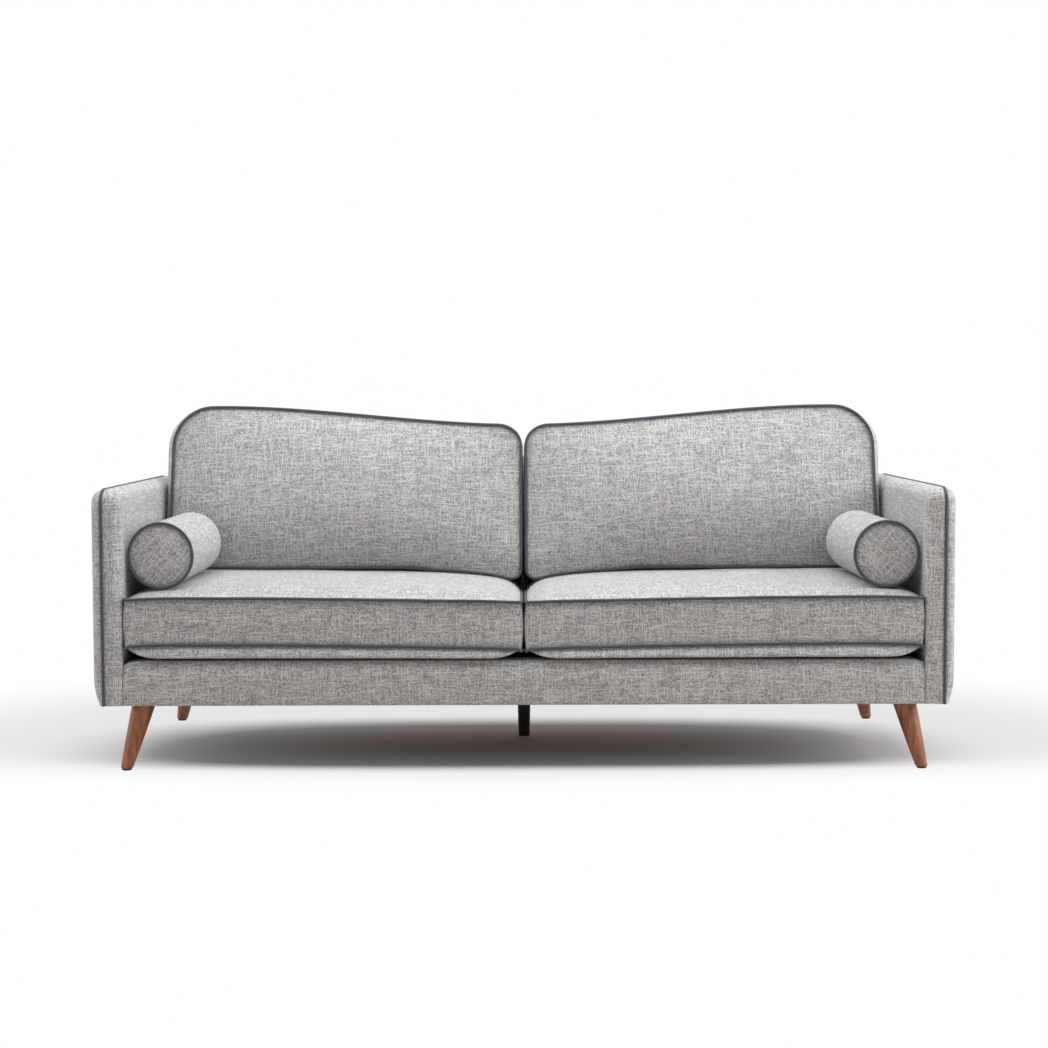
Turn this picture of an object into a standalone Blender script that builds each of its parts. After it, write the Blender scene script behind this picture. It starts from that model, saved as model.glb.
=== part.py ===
"""A three-seat sofa with slim upright arms, loose welted cushions and two bolsters.

Metres, +Z up. The origin is on the floor, at the middle of the sofa's box: +X runs to the
viewer's right and the front faces -Y. A pair is built on the right and mirrored to the left.
"""
import math

import bmesh
import bpy
from mathutils import Matrix, Vector
from mathutils.bvhtree import BVHTree

# Overall sizes
WIDTH = 2.000
DEPTH = 0.830
BASE_HEIGHT = 0.157
BACK_HEIGHT = 0.720
RECLINE = math.radians(8.0)

# Clearances: pieces that rest or are fixed face to face, loose covers, loose cushions
TOUCH = 0.0003
COVER_GAP = 0.0005
CUSHION_GAP = 0.001

# Base frame
RAIL_THICKNESS = 0.025
RAIL_HEIGHT = 0.058
END_RAIL_OVERLAP = 0.015
CENTRE_RAIL_WIDTH = 0.045
CORNER_BLOCK_SIZE = 0.105
CORNER_BLOCK_HEIGHT = 0.045
CORNER_BLOCK_CHAMFER = 0.050
TIMBER_EASE = 0.0015
COVER_CLOTH = 0.0022

# Sinuous seat springs, three on each side of the middle rail
SPRINGS_PER_SIDE = 3
SPRING_WIRE = 0.0038
SPRING_RISE = 0.012
SPRING_HALF_WIDTH = 0.026
SPRING_BENDS = 11
SPRING_BEND_POINTS = 3

# Arms
ARM_THICKNESS = 0.070
ARM_HEIGHT = 0.665
ARM_RISE = 0.008
ARM_FRONT_RADIUS = 0.035
ARM_REAR_RADIUS = 0.085
ARM_OUTER_ROUND = 0.026
ARM_INNER_ROUND = 0.012
ARM_OUTER_PAD = 0.027
ARM_EDGE_PAD = 0.022
ARM_PANEL_THICKNESS = 0.025
PANEL_MARGIN = 0.055
PANEL_BRACE = 0.050
PANEL_WINDOWS = 3
PANEL_WINDOW_RADIUS = 0.025

# Front border and seat deck
BORDER_PAD = 0.025
BORDER_TOP_RADIUS = 0.012
EDGE_ROLL_DEPTH = 0.066
DECK_THICKNESS = 0.027

# Back frame and its covers
POST_WIDTH = 0.045
POST_DEPTH = 0.045
POST_INSET = 0.0075
TOP_RAIL_HEIGHT = 0.045
STRAP_THICKNESS = 0.0015
STRAP_WIDTH = 0.050
STRAP_COUNT = 3
OUTSIDE_BACK_THICKNESS = 0.010
INSIDE_BACK_PAD = 0.0265
BACK_CAP_THICKNESS = 0.0145
BACK_LIP_DROP = 0.050
BACK_TOP_RADIUS = 0.012

# Piping cord in every seam
WELT_DIAMETER = 0.008
WELT_STITCH_GAP = 0.0004

# Seat cushions
SEAT_BOXING = 0.110
SEAT_CROWN = 0.026
SEAT_UNDER_CROWN = 0.033
SEAT_CROWN_POWER = 8
SEAT_UNDER_POWER = 20
SEAT_CORNER = 0.035
SEAT_SEAM_ARCH = 0.005
SEAT_SIDE_DRAW = 0.004
SEAT_CELLS = (7, 5)

# Back cushions
BACK_CUSHION_TALL = 0.411
BACK_CUSHION_DROP = 0.054
BACK_SLOPE_END = 0.68
BACK_BOXING = 0.170
BACK_CROWN = 0.038
BACK_CROWN_POWER = 4
BACK_OUTER_CORNER = 0.085
BACK_INNER_CORNER = 0.055
BACK_FOOT_CORNER = 0.030
BACK_SIDE_DRAW = 0.003
BACK_CELLS = (7, 5)

# How far the boxing strips of both kinds of cushion swell between their seams
BOXING_SWELL = 0.005

# Bolsters
BOLSTER_RADIUS = 0.0735
BOLSTER_LENGTH = 0.386
BOLSTER_END_DOME = 0.008
BOLSTER_SWELL = 0.002
BOLSTER_SIDES = 20
BOLSTER_ARM_GAP = 0.002
BOLSTER_BACK_GAP = 0.040

# Turned legs, their bolts and glides
LEG_TOP_RADIUS = 0.027
LEG_FOOT_RADIUS = 0.0138
LEG_SPLAY_SIDE = 0.035
LEG_SPLAY_END = 0.045
LEG_ARM_INSET = 0.033
LEG_FRONT_INSET = 0.091
LEG_REAR_INSET = 0.048
LEG_SIDES = 20
BOLT_RADIUS = 0.004
BOLT_LENGTH = 0.040
BOLT_DEPTH = 0.030
BOLT_HOLE_CLEARANCE = 0.0006
BOLT_SIDES = 12
GLIDE_RADIUS = 0.0115
GLIDE_THICKNESS = 0.004
CENTRE_LEG_TOP_RADIUS = 0.018
CENTRE_LEG_FOOT_RADIUS = 0.0145
CENTRE_LEG_Y = 0.085

# Fineness of the curves
ARC_STEPS = 5
OUTER_ROUND_STEPS = 3
INNER_ROUND_STEPS = 2
CORD_RESOLUTION = 1
GROOVE_RESOLUTION = 2
SHARP_ANGLE = math.radians(40.0)
CUT_MARGIN = 0.02
WELD_DISTANCE = 0.00001
CAGE_SLACK = 0.001

# Levels and planes that follow from the sizes above
WELT_RADIUS = WELT_DIAMETER / 2
WELT_STAND_OFF = WELT_RADIUS + WELT_STITCH_GAP
WELT_REACH = WELT_RADIUS + WELT_STAND_OFF * math.sqrt(0.5)
UNDERSIDE = BASE_HEIGHT + TOUCH
RAIL_BOTTOM = UNDERSIDE + COVER_CLOTH + TOUCH
RAIL_TOP = RAIL_BOTTOM + RAIL_HEIGHT
SPRING_AXIS = RAIL_TOP + TOUCH + SPRING_WIRE / 2
SPRING_TOP = SPRING_AXIS + SPRING_WIRE / 2
DECK_BOTTOM = SPRING_TOP + SPRING_RISE + TOUCH
DECK_TOP = DECK_BOTTOM + DECK_THICKNESS
ARM_INNER = WIDTH / 2 - ARM_THICKNESS
PANEL_OUTER = WIDTH / 2 - ARM_OUTER_PAD
PANEL_INNER = PANEL_OUTER - ARM_PANEL_THICKNESS
ARM_WELT_X = WIDTH / 2 - ARM_OUTER_ROUND
COVER_HALF = ARM_INNER - COVER_GAP
FRONT_FACE = -DEPTH / 2 + WELT_RADIUS
FRONT_RAIL_FRONT = FRONT_FACE + BORDER_PAD + TOUCH
FRONT_RAIL_REAR = FRONT_RAIL_FRONT + RAIL_THICKNESS
POST_REAR = OUTSIDE_BACK_THICKNESS + TOUCH
POST_FRONT = POST_REAR + POST_DEPTH
STRAP_REAR = POST_FRONT + TOUCH
STRAP_FRONT = STRAP_REAR + STRAP_THICKNESS
PAD_REAR = STRAP_FRONT + TOUCH
PAD_FRONT = PAD_REAR + INSIDE_BACK_PAD
CAP_UNDERSIDE = BACK_HEIGHT - BACK_CAP_THICKNESS
LIP_BOTTOM = BACK_HEIGHT - BACK_LIP_DROP
TOP_RAIL_TOP = CAP_UNDERSIDE - TOUCH
TOP_RAIL_BOTTOM = TOP_RAIL_TOP - TOP_RAIL_HEIGHT
POST_X = ARM_INNER - POST_INSET - POST_WIDTH / 2
LEG_X = ARM_INNER - LEG_ARM_INSET
BOLT_HOLE_RADIUS = BOLT_RADIUS + BOLT_HOLE_CLEARANCE

# An outline (u, v) drawn in side view lies on (y, z) and is thick along x
PLAN_VIEW = Matrix.Identity(4)
SIDE_VIEW = Matrix(((0, 0, 1, 0), (1, 0, 0, 0), (0, 1, 0, 0), (0, 0, 0, 1)))
SIDES = (("right", 1), ("left", -1))


def rear_face(height):
    """Where the reclined rear of the back stands at a height, so that its rounded top ends the depth."""
    lost_in_rounding = BACK_TOP_RADIUS * (math.tan(RECLINE) + 1.0 / math.cos(RECLINE) - 1.0)
    return DEPTH / 2 + lost_in_rounding - (BACK_HEIGHT - height) * math.tan(RECLINE)


REAR_RAIL_REAR = rear_face(RAIL_BOTTOM) - OUTSIDE_BACK_THICKNESS - TOUCH
REAR_RAIL_FRONT = REAR_RAIL_REAR - RAIL_THICKNESS
LEG_FRONT_Y = FRONT_FACE + LEG_FRONT_INSET
LEG_REAR_Y = rear_face(BASE_HEIGHT) - LEG_REAR_INSET


# The scene: two collections and the finishes
for leftover in list(bpy.data.objects):
    bpy.data.objects.remove(leftover, do_unlink=True)
PARTS = bpy.data.collections.new("sofa")
CUTTERS = bpy.data.collections.new("sofa_cutters")
for collection in (PARTS, CUTTERS):
    bpy.context.scene.collection.children.link(collection)


def finish(name, colour, roughness, metallic=0.0):
    """A Principled material of one colour."""
    material = bpy.data.materials.new(name)
    material.use_nodes = True
    shader = material.node_tree.nodes["Principled BSDF"]
    shader.inputs["Base Color"].default_value = (*colour, 1.0)
    shader.inputs["Roughness"].default_value = roughness
    shader.inputs["Metallic"].default_value = metallic
    return material


TWEED = finish("grey_tweed", (0.42, 0.41, 0.40), 0.95)
PIPING = finish("slate_piping", (0.055, 0.062, 0.085), 0.85)
WALNUT = finish("walnut", (0.23, 0.085, 0.035), 0.40)
BLACK_WOOD = finish("black_wood", (0.015, 0.013, 0.013), 0.45)
PINE = finish("pine", (0.62, 0.44, 0.25), 0.70)
PLYWOOD = finish("plywood", (0.58, 0.42, 0.26), 0.70)
SPRING_STEEL = finish("spring_steel", (0.35, 0.35, 0.36), 0.40, 1.0)
WEBBING = finish("webbing", (0.30, 0.24, 0.17), 0.90)
LINING = finish("black_lining", (0.02, 0.02, 0.02), 0.95)
GLIDE = finish("dark_glide", (0.03, 0.025, 0.022), 0.50)


# Shared ways of making a piece
def add(name, data, material, collection=PARTS):
    """A named object that carries one finish."""
    piece = bpy.data.objects.new(name, data)
    if material is not None:
        data.materials.append(material)
    collection.objects.link(piece)
    return piece


def hidden(cutter):
    """Marks a cutter, which is only drawn as wire."""
    cutter.hide_render = True
    cutter.display_type = "WIRE"
    return cutter


def evaluated(piece, in_world=False):
    """A plain mesh of a piece as its modifiers leave it."""
    bpy.context.view_layer.update()
    graph = bpy.context.evaluated_depsgraph_get()
    mesh = bpy.data.meshes.new_from_object(piece.evaluated_get(graph))
    if in_world:
        mesh.transform(piece.matrix_world)
    return mesh


def smooth(mesh):
    """Shades round faces smooth and keeps the real edges sharp."""
    mesh.shade_smooth()
    mesh.set_sharp_from_angle(angle=SHARP_ANGLE)


def mirrored(mesh):
    """The left-hand copy of a right-hand mesh."""
    copy = mesh.copy()
    copy.transform(Matrix.Scale(-1.0, 4, (1.0, 0.0, 0.0)))
    copy.flip_normals()
    return copy


def welded(curve_piece):
    """Turns a filled curve into a closed mesh with the curve's place in it, and removes the curve."""
    mesh = evaluated(curve_piece, in_world=True)
    bpy.data.objects.remove(curve_piece, do_unlink=True)
    bm = bmesh.new()
    bm.from_mesh(mesh)
    bmesh.ops.remove_doubles(bm, verts=bm.verts, dist=WELD_DISTANCE)
    bmesh.ops.recalc_face_normals(bm, faces=bm.faces)
    bm.to_mesh(mesh)
    bm.free()
    return mesh


def spline(curve, points, cyclic):
    """Adds a straight-sided spline through points to a curve."""
    run = curve.splines.new("POLY")
    run.points.add(len(points) - 1)
    for knot, place in zip(run.points, points):
        knot.co = (*Vector(place).to_3d(), 1.0)
    run.use_cyclic_u = cyclic


def slab(outline, start, end, view, holes=()):
    """A mesh of a flat outline, with any holes, that is thick from start to end."""
    curve = bpy.data.curves.new("outline", "CURVE")
    curve.dimensions = "2D"
    curve.fill_mode = "BOTH"
    curve.extrude = (end - start) / 2
    for loop in (outline, *holes):
        spline(curve, loop, True)
    drawn = add("outline", curve, None)
    drawn.matrix_world = view @ Matrix.Translation((0.0, 0.0, (start + end) / 2))
    return welded(drawn)


def cord(name, points, material, cyclic, collection=PARTS, radius=WELT_RADIUS,
         resolution=CORD_RESOLUTION):
    """A round cord along points."""
    curve = bpy.data.curves.new(name, "CURVE")
    curve.dimensions = "3D"
    curve.bevel_depth = radius
    curve.bevel_resolution = resolution
    curve.use_fill_caps = True
    spline(curve, points, cyclic)
    return add(name, curve, material, collection)


def block(name, low, high, material, collection=PARTS):
    """A plain box between two corners."""
    low = Vector(low)
    high = Vector(high)
    bm = bmesh.new()
    bmesh.ops.create_cube(bm, size=1.0, matrix=Matrix.Diagonal((*(high - low), 1.0)))
    mesh = bpy.data.meshes.new(name)
    bm.to_mesh(mesh)
    bm.free()
    piece = add(name, mesh, material, collection)
    piece.location = (low + high) / 2
    return piece


def timber(name, low, high):
    """A planed length of pine with eased edges."""
    piece = block(name, low, high, PINE)
    ease = piece.modifiers.new("eased_edges", "BEVEL")
    ease.width = TIMBER_EASE
    ease.segments = 1
    return piece


def cylinder(name, radius, low, high, sides, material, collection=PARTS):
    """An upright cylinder whose origin is the middle of its foot."""
    bm = bmesh.new()
    bmesh.ops.create_cone(bm, cap_ends=True, segments=sides, radius1=radius, radius2=radius,
                          depth=high - low, matrix=Matrix.Translation((0.0, 0.0, (high + low) / 2)))
    mesh = bpy.data.meshes.new(name)
    bm.to_mesh(mesh)
    bm.free()
    smooth(mesh)
    return add(name, mesh, material, collection)


def turned(name, profile, sides, material):
    """A shape turned about its own z, from a profile (radius, z) that runs from top to bottom."""
    bm = bmesh.new()
    verts = [bm.verts.new((radius, 0.0, height)) for radius, height in profile]
    for upper, lower in zip(verts, verts[1:]):
        bm.edges.new((upper, lower))
    mesh = bpy.data.meshes.new(name)
    bm.to_mesh(mesh)
    bm.free()
    piece = add(name, mesh, material)
    lathe = piece.modifiers.new("lathe", "SCREW")
    lathe.axis = "Z"
    lathe.steps = sides
    lathe.render_steps = sides
    lathe.use_merge_vertices = True
    lathe.merge_threshold = WELD_DISTANCE
    lathe.use_smooth_shade = True
    return piece


def shaped_by(piece, cutter, operation):
    """Cuts, keeps or joins a piece with a cutter."""
    cut = piece.modifiers.new(operation.lower(), "BOOLEAN")
    cut.operation = operation
    cut.object = hidden(cutter)


def circle(centre, radius):
    """The outline of a round hole."""
    turns = [math.tau * step / BOLT_SIDES for step in range(BOLT_SIDES)]
    return [(centre[0] + radius * math.cos(turn), centre[1] + radius * math.sin(turn)) for turn in turns]


def arc(corner, before, after, radius):
    """Points round a corner between its two straight sides."""
    back = (before - corner).normalized()
    ahead = (after - corner).normalized()
    half = back.angle(ahead) / 2
    centre = corner + (back + ahead).normalized() * (radius / math.sin(half))
    start = corner + back * (radius / math.tan(half)) - centre
    end = corner + ahead * (radius / math.tan(half)) - centre
    first = math.atan2(start.y, start.x)
    swing = (math.atan2(end.y, end.x) - first + math.pi) % math.tau - math.pi
    turns = [first + swing * step / ARC_STEPS for step in range(ARC_STEPS + 1)]
    return [centre + Vector((math.cos(turn), math.sin(turn))) * radius for turn in turns]


def rounded(corners):
    """A closed outline through corners (u, v, radius), the round ones as arcs."""
    places = [Vector(corner[:2]) for corner in corners]
    outline = []
    for index, (place, (_, _, radius)) in enumerate(zip(places, corners)):
        if radius > 0.0:
            outline += arc(place, places[index - 1], places[(index + 1) % len(places)], radius)
        else:
            outline.append(place)
    return outline


# Base frame: four rails, a middle rail and four corner blocks for the legs
def plan_box(left, right, front, rear):
    """A rectangle in plan."""
    return [(left, front), (right, front), (right, rear), (left, rear)]


def base_frame():
    """Pine rails glued and screwed into a box, with drilled blocks in its corners."""
    end_inner = ARM_INNER - END_RAIL_OVERLAP
    rail_faces = {
        "front_rail": (FRONT_RAIL_FRONT, FRONT_RAIL_REAR),
        "rear_rail": (REAR_RAIL_FRONT, REAR_RAIL_REAR),
    }
    for name, (front, rear) in rail_faces.items():
        timber(name, (-COVER_HALF, front, RAIL_BOTTOM), (COVER_HALF, rear, RAIL_TOP))
    inside_front = FRONT_RAIL_REAR + TOUCH
    inside_rear = REAR_RAIL_FRONT - TOUCH
    half = CENTRE_RAIL_WIDTH / 2
    middle = slab(plan_box(-half, half, inside_front, inside_rear), RAIL_BOTTOM, RAIL_TOP, PLAN_VIEW,
                  [circle((0.0, CENTRE_LEG_Y), BOLT_HOLE_RADIUS)])
    add("centre_rail", middle, PINE)
    block_side = end_inner - TOUCH
    reach = CORNER_BLOCK_SIZE
    cut = CORNER_BLOCK_SIZE - CORNER_BLOCK_CHAMFER
    steps = [(0.0, 0.0), (reach, 0.0), (reach, cut), (cut, reach), (0.0, reach)]
    ends = (("front", inside_front, 1, LEG_FRONT_Y), ("rear", inside_rear, -1, LEG_REAR_Y))
    for side, sign in SIDES:
        near, far = sorted((sign * end_inner, sign * (PANEL_INNER - TOUCH)))
        timber("end_rail_" + side, (near, inside_front, RAIL_BOTTOM), (far, inside_rear, RAIL_TOP))
        for end, wall, inward, bolt_y in ends:
            outline = [(sign * (block_side - u), wall + inward * v) for u, v in steps]
            hole = circle((sign * LEG_X, bolt_y), BOLT_HOLE_RADIUS)
            mesh = slab(outline, RAIL_BOTTOM, RAIL_BOTTOM + CORNER_BLOCK_HEIGHT, PLAN_VIEW, [hole])
            add(f"corner_block_{end}_{side}", mesh, PINE)


# Seat springs, deck and dust cover
def spring_path(middle):
    """The wire's middle line: bends to and fro between the rails, lifted into a low arch."""
    front = (FRONT_RAIL_FRONT + FRONT_RAIL_REAR) / 2
    rear = (REAR_RAIL_FRONT + REAR_RAIL_REAR) / 2
    pitch = (rear - front) / SPRING_BENDS
    bend = pitch / 2
    points = [(middle, front)]
    for index in range(SPRING_BENDS):
        way = 1 if index % 2 == 0 else -1
        centre_y = front + pitch * (index + 0.5)
        for step in range(SPRING_BEND_POINTS):
            turn = math.pi * (step / (SPRING_BEND_POINTS - 1) - 0.5)
            out = SPRING_HALF_WIDTH - bend + bend * math.cos(turn)
            points.append((middle + way * out, centre_y + bend * math.sin(turn)))
    points.append((middle, rear))
    arch_front = FRONT_FACE + EDGE_ROLL_DEPTH + pitch
    arch_length = rear_face(SPRING_TOP) - PAD_FRONT - pitch - arch_front
    shares = [min(max((y - arch_front) / arch_length, 0.0), 1.0) for _, y in points]
    lifts = [SPRING_RISE * math.sin(math.pi * share) for share in shares]
    return [(x, y, SPRING_AXIS + lift) for (x, y), lift in zip(points, lifts)]


def seat_platform():
    """Arched zigzag springs across the rails, a padded deck on them and a lining under the rails."""
    for side, sign in SIDES:
        for index in range(SPRINGS_PER_SIDE):
            middle = sign * ARM_INNER * (index + 0.5) / SPRINGS_PER_SIDE
            cord(f"seat_spring_{side}_{index + 1}", spring_path(middle), SPRING_STEEL, False,
                 radius=SPRING_WIRE / 2, resolution=0)
    deck_front = FRONT_FACE + EDGE_ROLL_DEPTH + TOUCH
    deck_rear = rear_face(DECK_BOTTOM) - PAD_FRONT - TOUCH
    deck = plan_box(-COVER_HALF, COVER_HALF, deck_front, deck_rear)
    add("seat_deck", slab(deck, DECK_BOTTOM, DECK_TOP, PLAN_VIEW), LINING)
    bolts = [(sign * LEG_X, y) for _, sign in SIDES for y in (LEG_FRONT_Y, LEG_REAR_Y)]
    bolts.append((0.0, CENTRE_LEG_Y))
    holes = [circle(bolt, BOLT_HOLE_RADIUS) for bolt in bolts]
    lining_rear = rear_face(UNDERSIDE) - OUTSIDE_BACK_THICKNESS - TOUCH
    outline = plan_box(-COVER_HALF, COVER_HALF, FRONT_RAIL_REAR + TOUCH, lining_rear)
    add("dust_cover", slab(outline, UNDERSIDE, UNDERSIDE + COVER_CLOTH, PLAN_VIEW, holes), LINING)


def front_border():
    """The padded border over the front rail: a pad, an edge roll over its top and a lip under it."""
    inner = FRONT_FACE + BORDER_PAD
    lip_rear = FRONT_RAIL_REAR
    lip_top = UNDERSIDE + COVER_CLOTH
    roll_bottom = SPRING_TOP + TOUCH
    roll_rear = FRONT_FACE + EDGE_ROLL_DEPTH
    outline = rounded([
        (FRONT_FACE, UNDERSIDE, 0.0),
        (lip_rear, UNDERSIDE, 0.0),
        (lip_rear, lip_top, 0.0),
        (inner, lip_top, 0.0),
        (inner, roll_bottom, 0.0),
        (roll_rear, roll_bottom, 0.0),
        (roll_rear, DECK_TOP, 0.0),
        (FRONT_FACE, DECK_TOP, BORDER_TOP_RADIUS),
    ])
    mesh = slab(outline, -COVER_HALF, COVER_HALF, SIDE_VIEW)
    smooth(mesh)
    add("front_border", mesh, TWEED)


# Back frame and its covers, all parallel to the reclined rear face
def leaning(offset, height, radius=0.0):
    """An outline corner at a horizontal distance in front of the rear face."""
    return (rear_face(height) - offset, height, radius)


def leaning_strip(front, rear, bottom, top):
    """The side view of a board between two distances from the rear face."""
    return rounded([leaning(front, bottom), leaning(rear, bottom), leaning(rear, top), leaning(front, top)])


def back_frame():
    """Three posts on the rear rail, a top rail on them and webbing straps across their fronts."""
    foot = RAIL_TOP + TOUCH
    half = POST_WIDTH / 2
    post = leaning_strip(POST_FRONT, POST_REAR, foot, TOP_RAIL_BOTTOM - TOUCH)
    for name, x in (("left", -POST_X), ("centre", 0.0), ("right", POST_X)):
        add("back_post_" + name, slab(post, x - half, x + half, SIDE_VIEW), PINE)
    span = POST_X + half
    rail = leaning_strip(POST_FRONT, POST_REAR, TOP_RAIL_BOTTOM, TOP_RAIL_TOP)
    add("back_top_rail", slab(rail, -span, span, SIDE_VIEW), PINE)
    spare = (TOP_RAIL_BOTTOM - foot - STRAP_COUNT * STRAP_WIDTH) / (STRAP_COUNT + 1)
    for index, level in enumerate(("low", "middle", "high")):
        bottom = foot + spare + index * (STRAP_WIDTH + spare)
        strap = leaning_strip(STRAP_FRONT, STRAP_REAR, bottom, bottom + STRAP_WIDTH)
        add("back_webbing_" + level, slab(strap, -span, span, SIDE_VIEW), WEBBING)


def back_covers():
    """The padded inside back, turned over the top rail, and the plain outside back below its lip."""
    foot = SPRING_TOP + TOUCH
    outline = rounded([
        leaning(PAD_FRONT, foot),
        leaning(PAD_REAR, foot),
        leaning(PAD_REAR, CAP_UNDERSIDE),
        leaning(OUTSIDE_BACK_THICKNESS, CAP_UNDERSIDE),
        leaning(OUTSIDE_BACK_THICKNESS, LIP_BOTTOM),
        leaning(0.0, LIP_BOTTOM),
        leaning(0.0, BACK_HEIGHT, BACK_TOP_RADIUS),
        leaning(PAD_FRONT, BACK_HEIGHT, BACK_TOP_RADIUS),
    ])
    inside = slab(outline, -COVER_HALF, COVER_HALF, SIDE_VIEW)
    smooth(inside)
    add("inside_back", inside, TWEED)
    plain = leaning_strip(OUTSIDE_BACK_THICKNESS, 0.0, UNDERSIDE, LIP_BOTTOM - TOUCH)
    add("outside_back", slab(plain, -COVER_HALF, COVER_HALF, SIDE_VIEW), TWEED)


# Arms: a plywood panel in a padded cover, with a cord in the seam of the outer panel
def arm_corners(inset, foot):
    """Side view of an arm, drawn in by inset, from a foot level upwards."""
    top_front = ARM_HEIGHT - inset
    top_rear = ARM_HEIGHT + ARM_RISE - inset
    return [
        (FRONT_FACE + inset, foot, 0.0),
        (*leaning(inset, foot)[:2], 0.0),
        (*leaning(inset, top_rear)[:2], max(ARM_REAR_RADIUS - inset, TOUCH)),
        (FRONT_FACE + inset, top_front, max(ARM_FRONT_RADIUS - inset, TOUCH)),
    ]


def panel_windows():
    """Round-cornered lightening holes along the plywood panel."""
    low = RAIL_TOP + PANEL_BRACE
    high = ARM_HEIGHT - ARM_EDGE_PAD - PANEL_MARGIN
    front = FRONT_FACE + ARM_EDGE_PAD + PANEL_MARGIN
    rear = rear_face(low) - ARM_EDGE_PAD - PANEL_MARGIN
    width = (rear - front - (PANEL_WINDOWS - 1) * PANEL_BRACE) / PANEL_WINDOWS
    windows = []
    for index in range(PANEL_WINDOWS):
        near = front + index * (width + PANEL_BRACE)
        corners = plan_box(near, near + width, low, high)
        windows.append(rounded([(*corner, PANEL_WINDOW_RADIUS) for corner in corners]))
    return windows


def rolled_edges(mesh):
    """Rolls the padded outer edge of an arm wide, and its inner front and top edge small."""
    bm = bmesh.new()
    bm.from_mesh(mesh)
    caps = []
    for side in (1, -1):
        faces = [face for face in bm.faces if face.normal.x * side > 0.99]
        caps.append(bmesh.ops.dissolve_faces(bm, faces=faces)["region"][0])
    outer, inner = caps
    outer_edges = list(outer.edges)
    floor = UNDERSIDE + WELD_DISTANCE
    inner_edges = [edge for edge in inner.edges if max(vert.co.z for vert in edge.verts) > floor]
    bmesh.ops.bevel(bm, geom=outer_edges, offset=ARM_OUTER_ROUND, segments=OUTER_ROUND_STEPS, profile=0.5,
                    affect="EDGES", clamp_overlap=False)
    bmesh.ops.bevel(bm, geom=inner_edges, offset=ARM_INNER_ROUND, segments=INNER_ROUND_STEPS, profile=0.5,
                    affect="EDGES", clamp_overlap=False)
    bmesh.ops.recalc_face_normals(bm, faces=bm.faces)
    bm.to_mesh(mesh)
    bm.free()
    smooth(mesh)


def arms():
    """The right arm, and its mirrored copy."""
    outline = rounded(arm_corners(0.0, UNDERSIDE))
    panel_outline = rounded(arm_corners(ARM_EDGE_PAD, RAIL_BOTTOM))
    panel = slab(panel_outline, PANEL_INNER, PANEL_OUTER, SIDE_VIEW, panel_windows())
    padded = slab(outline, ARM_INNER, WIDTH / 2, SIDE_VIEW)
    rolled_edges(padded)
    cover = add("arm_cover_right", padded, TWEED)

    pocket_outline = rounded(arm_corners(ARM_EDGE_PAD - TOUCH, UNDERSIDE - CUT_MARGIN))
    pocket = slab(pocket_outline, PANEL_INNER - TOUCH, PANEL_OUTER + TOUCH, SIDE_VIEW)
    shaped_by(cover, add("arm_pocket", pocket, None, CUTTERS), "DIFFERENCE")
    window_low = (ARM_INNER - CUT_MARGIN, FRONT_RAIL_REAR, UNDERSIDE - CUT_MARGIN)
    window_high = ((PANEL_INNER + PANEL_OUTER) / 2, REAR_RAIL_FRONT, RAIL_TOP + TOUCH)
    shaped_by(cover, block("arm_rail_window", window_low, window_high, None, CUTTERS), "DIFFERENCE")

    seam = outline[1:] + outline[:1]
    path = [(ARM_WELT_X, point[0], point[1]) for point in seam]
    lower = [(x, y, z - CUT_MARGIN) for x, y, z in (path[0], path[-1])]
    groove = cord("arm_welt_groove", [lower[0], *path, lower[1]], None, False, CUTTERS,
                  WELT_STAND_OFF, GROOVE_RESOLUTION)
    shaped_by(cover, add("arm_welt_channel", welded(groove), None, CUTTERS), "DIFFERENCE")
    welt = welded(cord("arm_welt", path, None, False))
    smooth(welt)

    finished_cover = evaluated(cover)
    smooth(finished_cover)
    add("arm_cover_left", mirrored(finished_cover), None)
    for name, mesh, material in (("arm_panel", panel, PLYWOOD), ("arm_welt", welt, PIPING)):
        add(name + "_left", mirrored(mesh), material)
        add(name + "_right", mesh, material)


# Loose cushions
def slide_empty(name, turn=0.0):
    """The moving frame of one loose cushion and its cords, turned about x."""
    empty = bpy.data.objects.new(name, None)
    empty.rotation_euler = (turn, 0.0, 0.0)
    PARTS.objects.link(empty)
    return empty


def held_by(empty, pieces):
    """Hangs pieces, whose shapes are drawn in the empty's own axes, on the empty."""
    for piece in pieces:
        piece.parent = empty


def on_rim(t):
    """Whether a cage coordinate, from -1 to 1, lies on an edge of the cage."""
    return abs(t) > 1.0 - CAGE_SLACK


def station(t, cells, low, high, low_corner, high_corner, at_corner):
    """Where a cage line lies: on an edge, or evenly spread between the two corner bands.

    A cage point at a corner of the face is drawn in along both axes, to the middle of an arc.
    """
    if on_rim(t):
        pulled = 1.0 - math.sqrt(0.5) if at_corner else 0.0
        return high - high_corner * pulled if t > 0.0 else low + low_corner * pulled
    share = 0.5 + 0.5 * t * cells / (cells - 2)
    return low + low_corner + (high - high_corner - low - low_corner) * share


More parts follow.
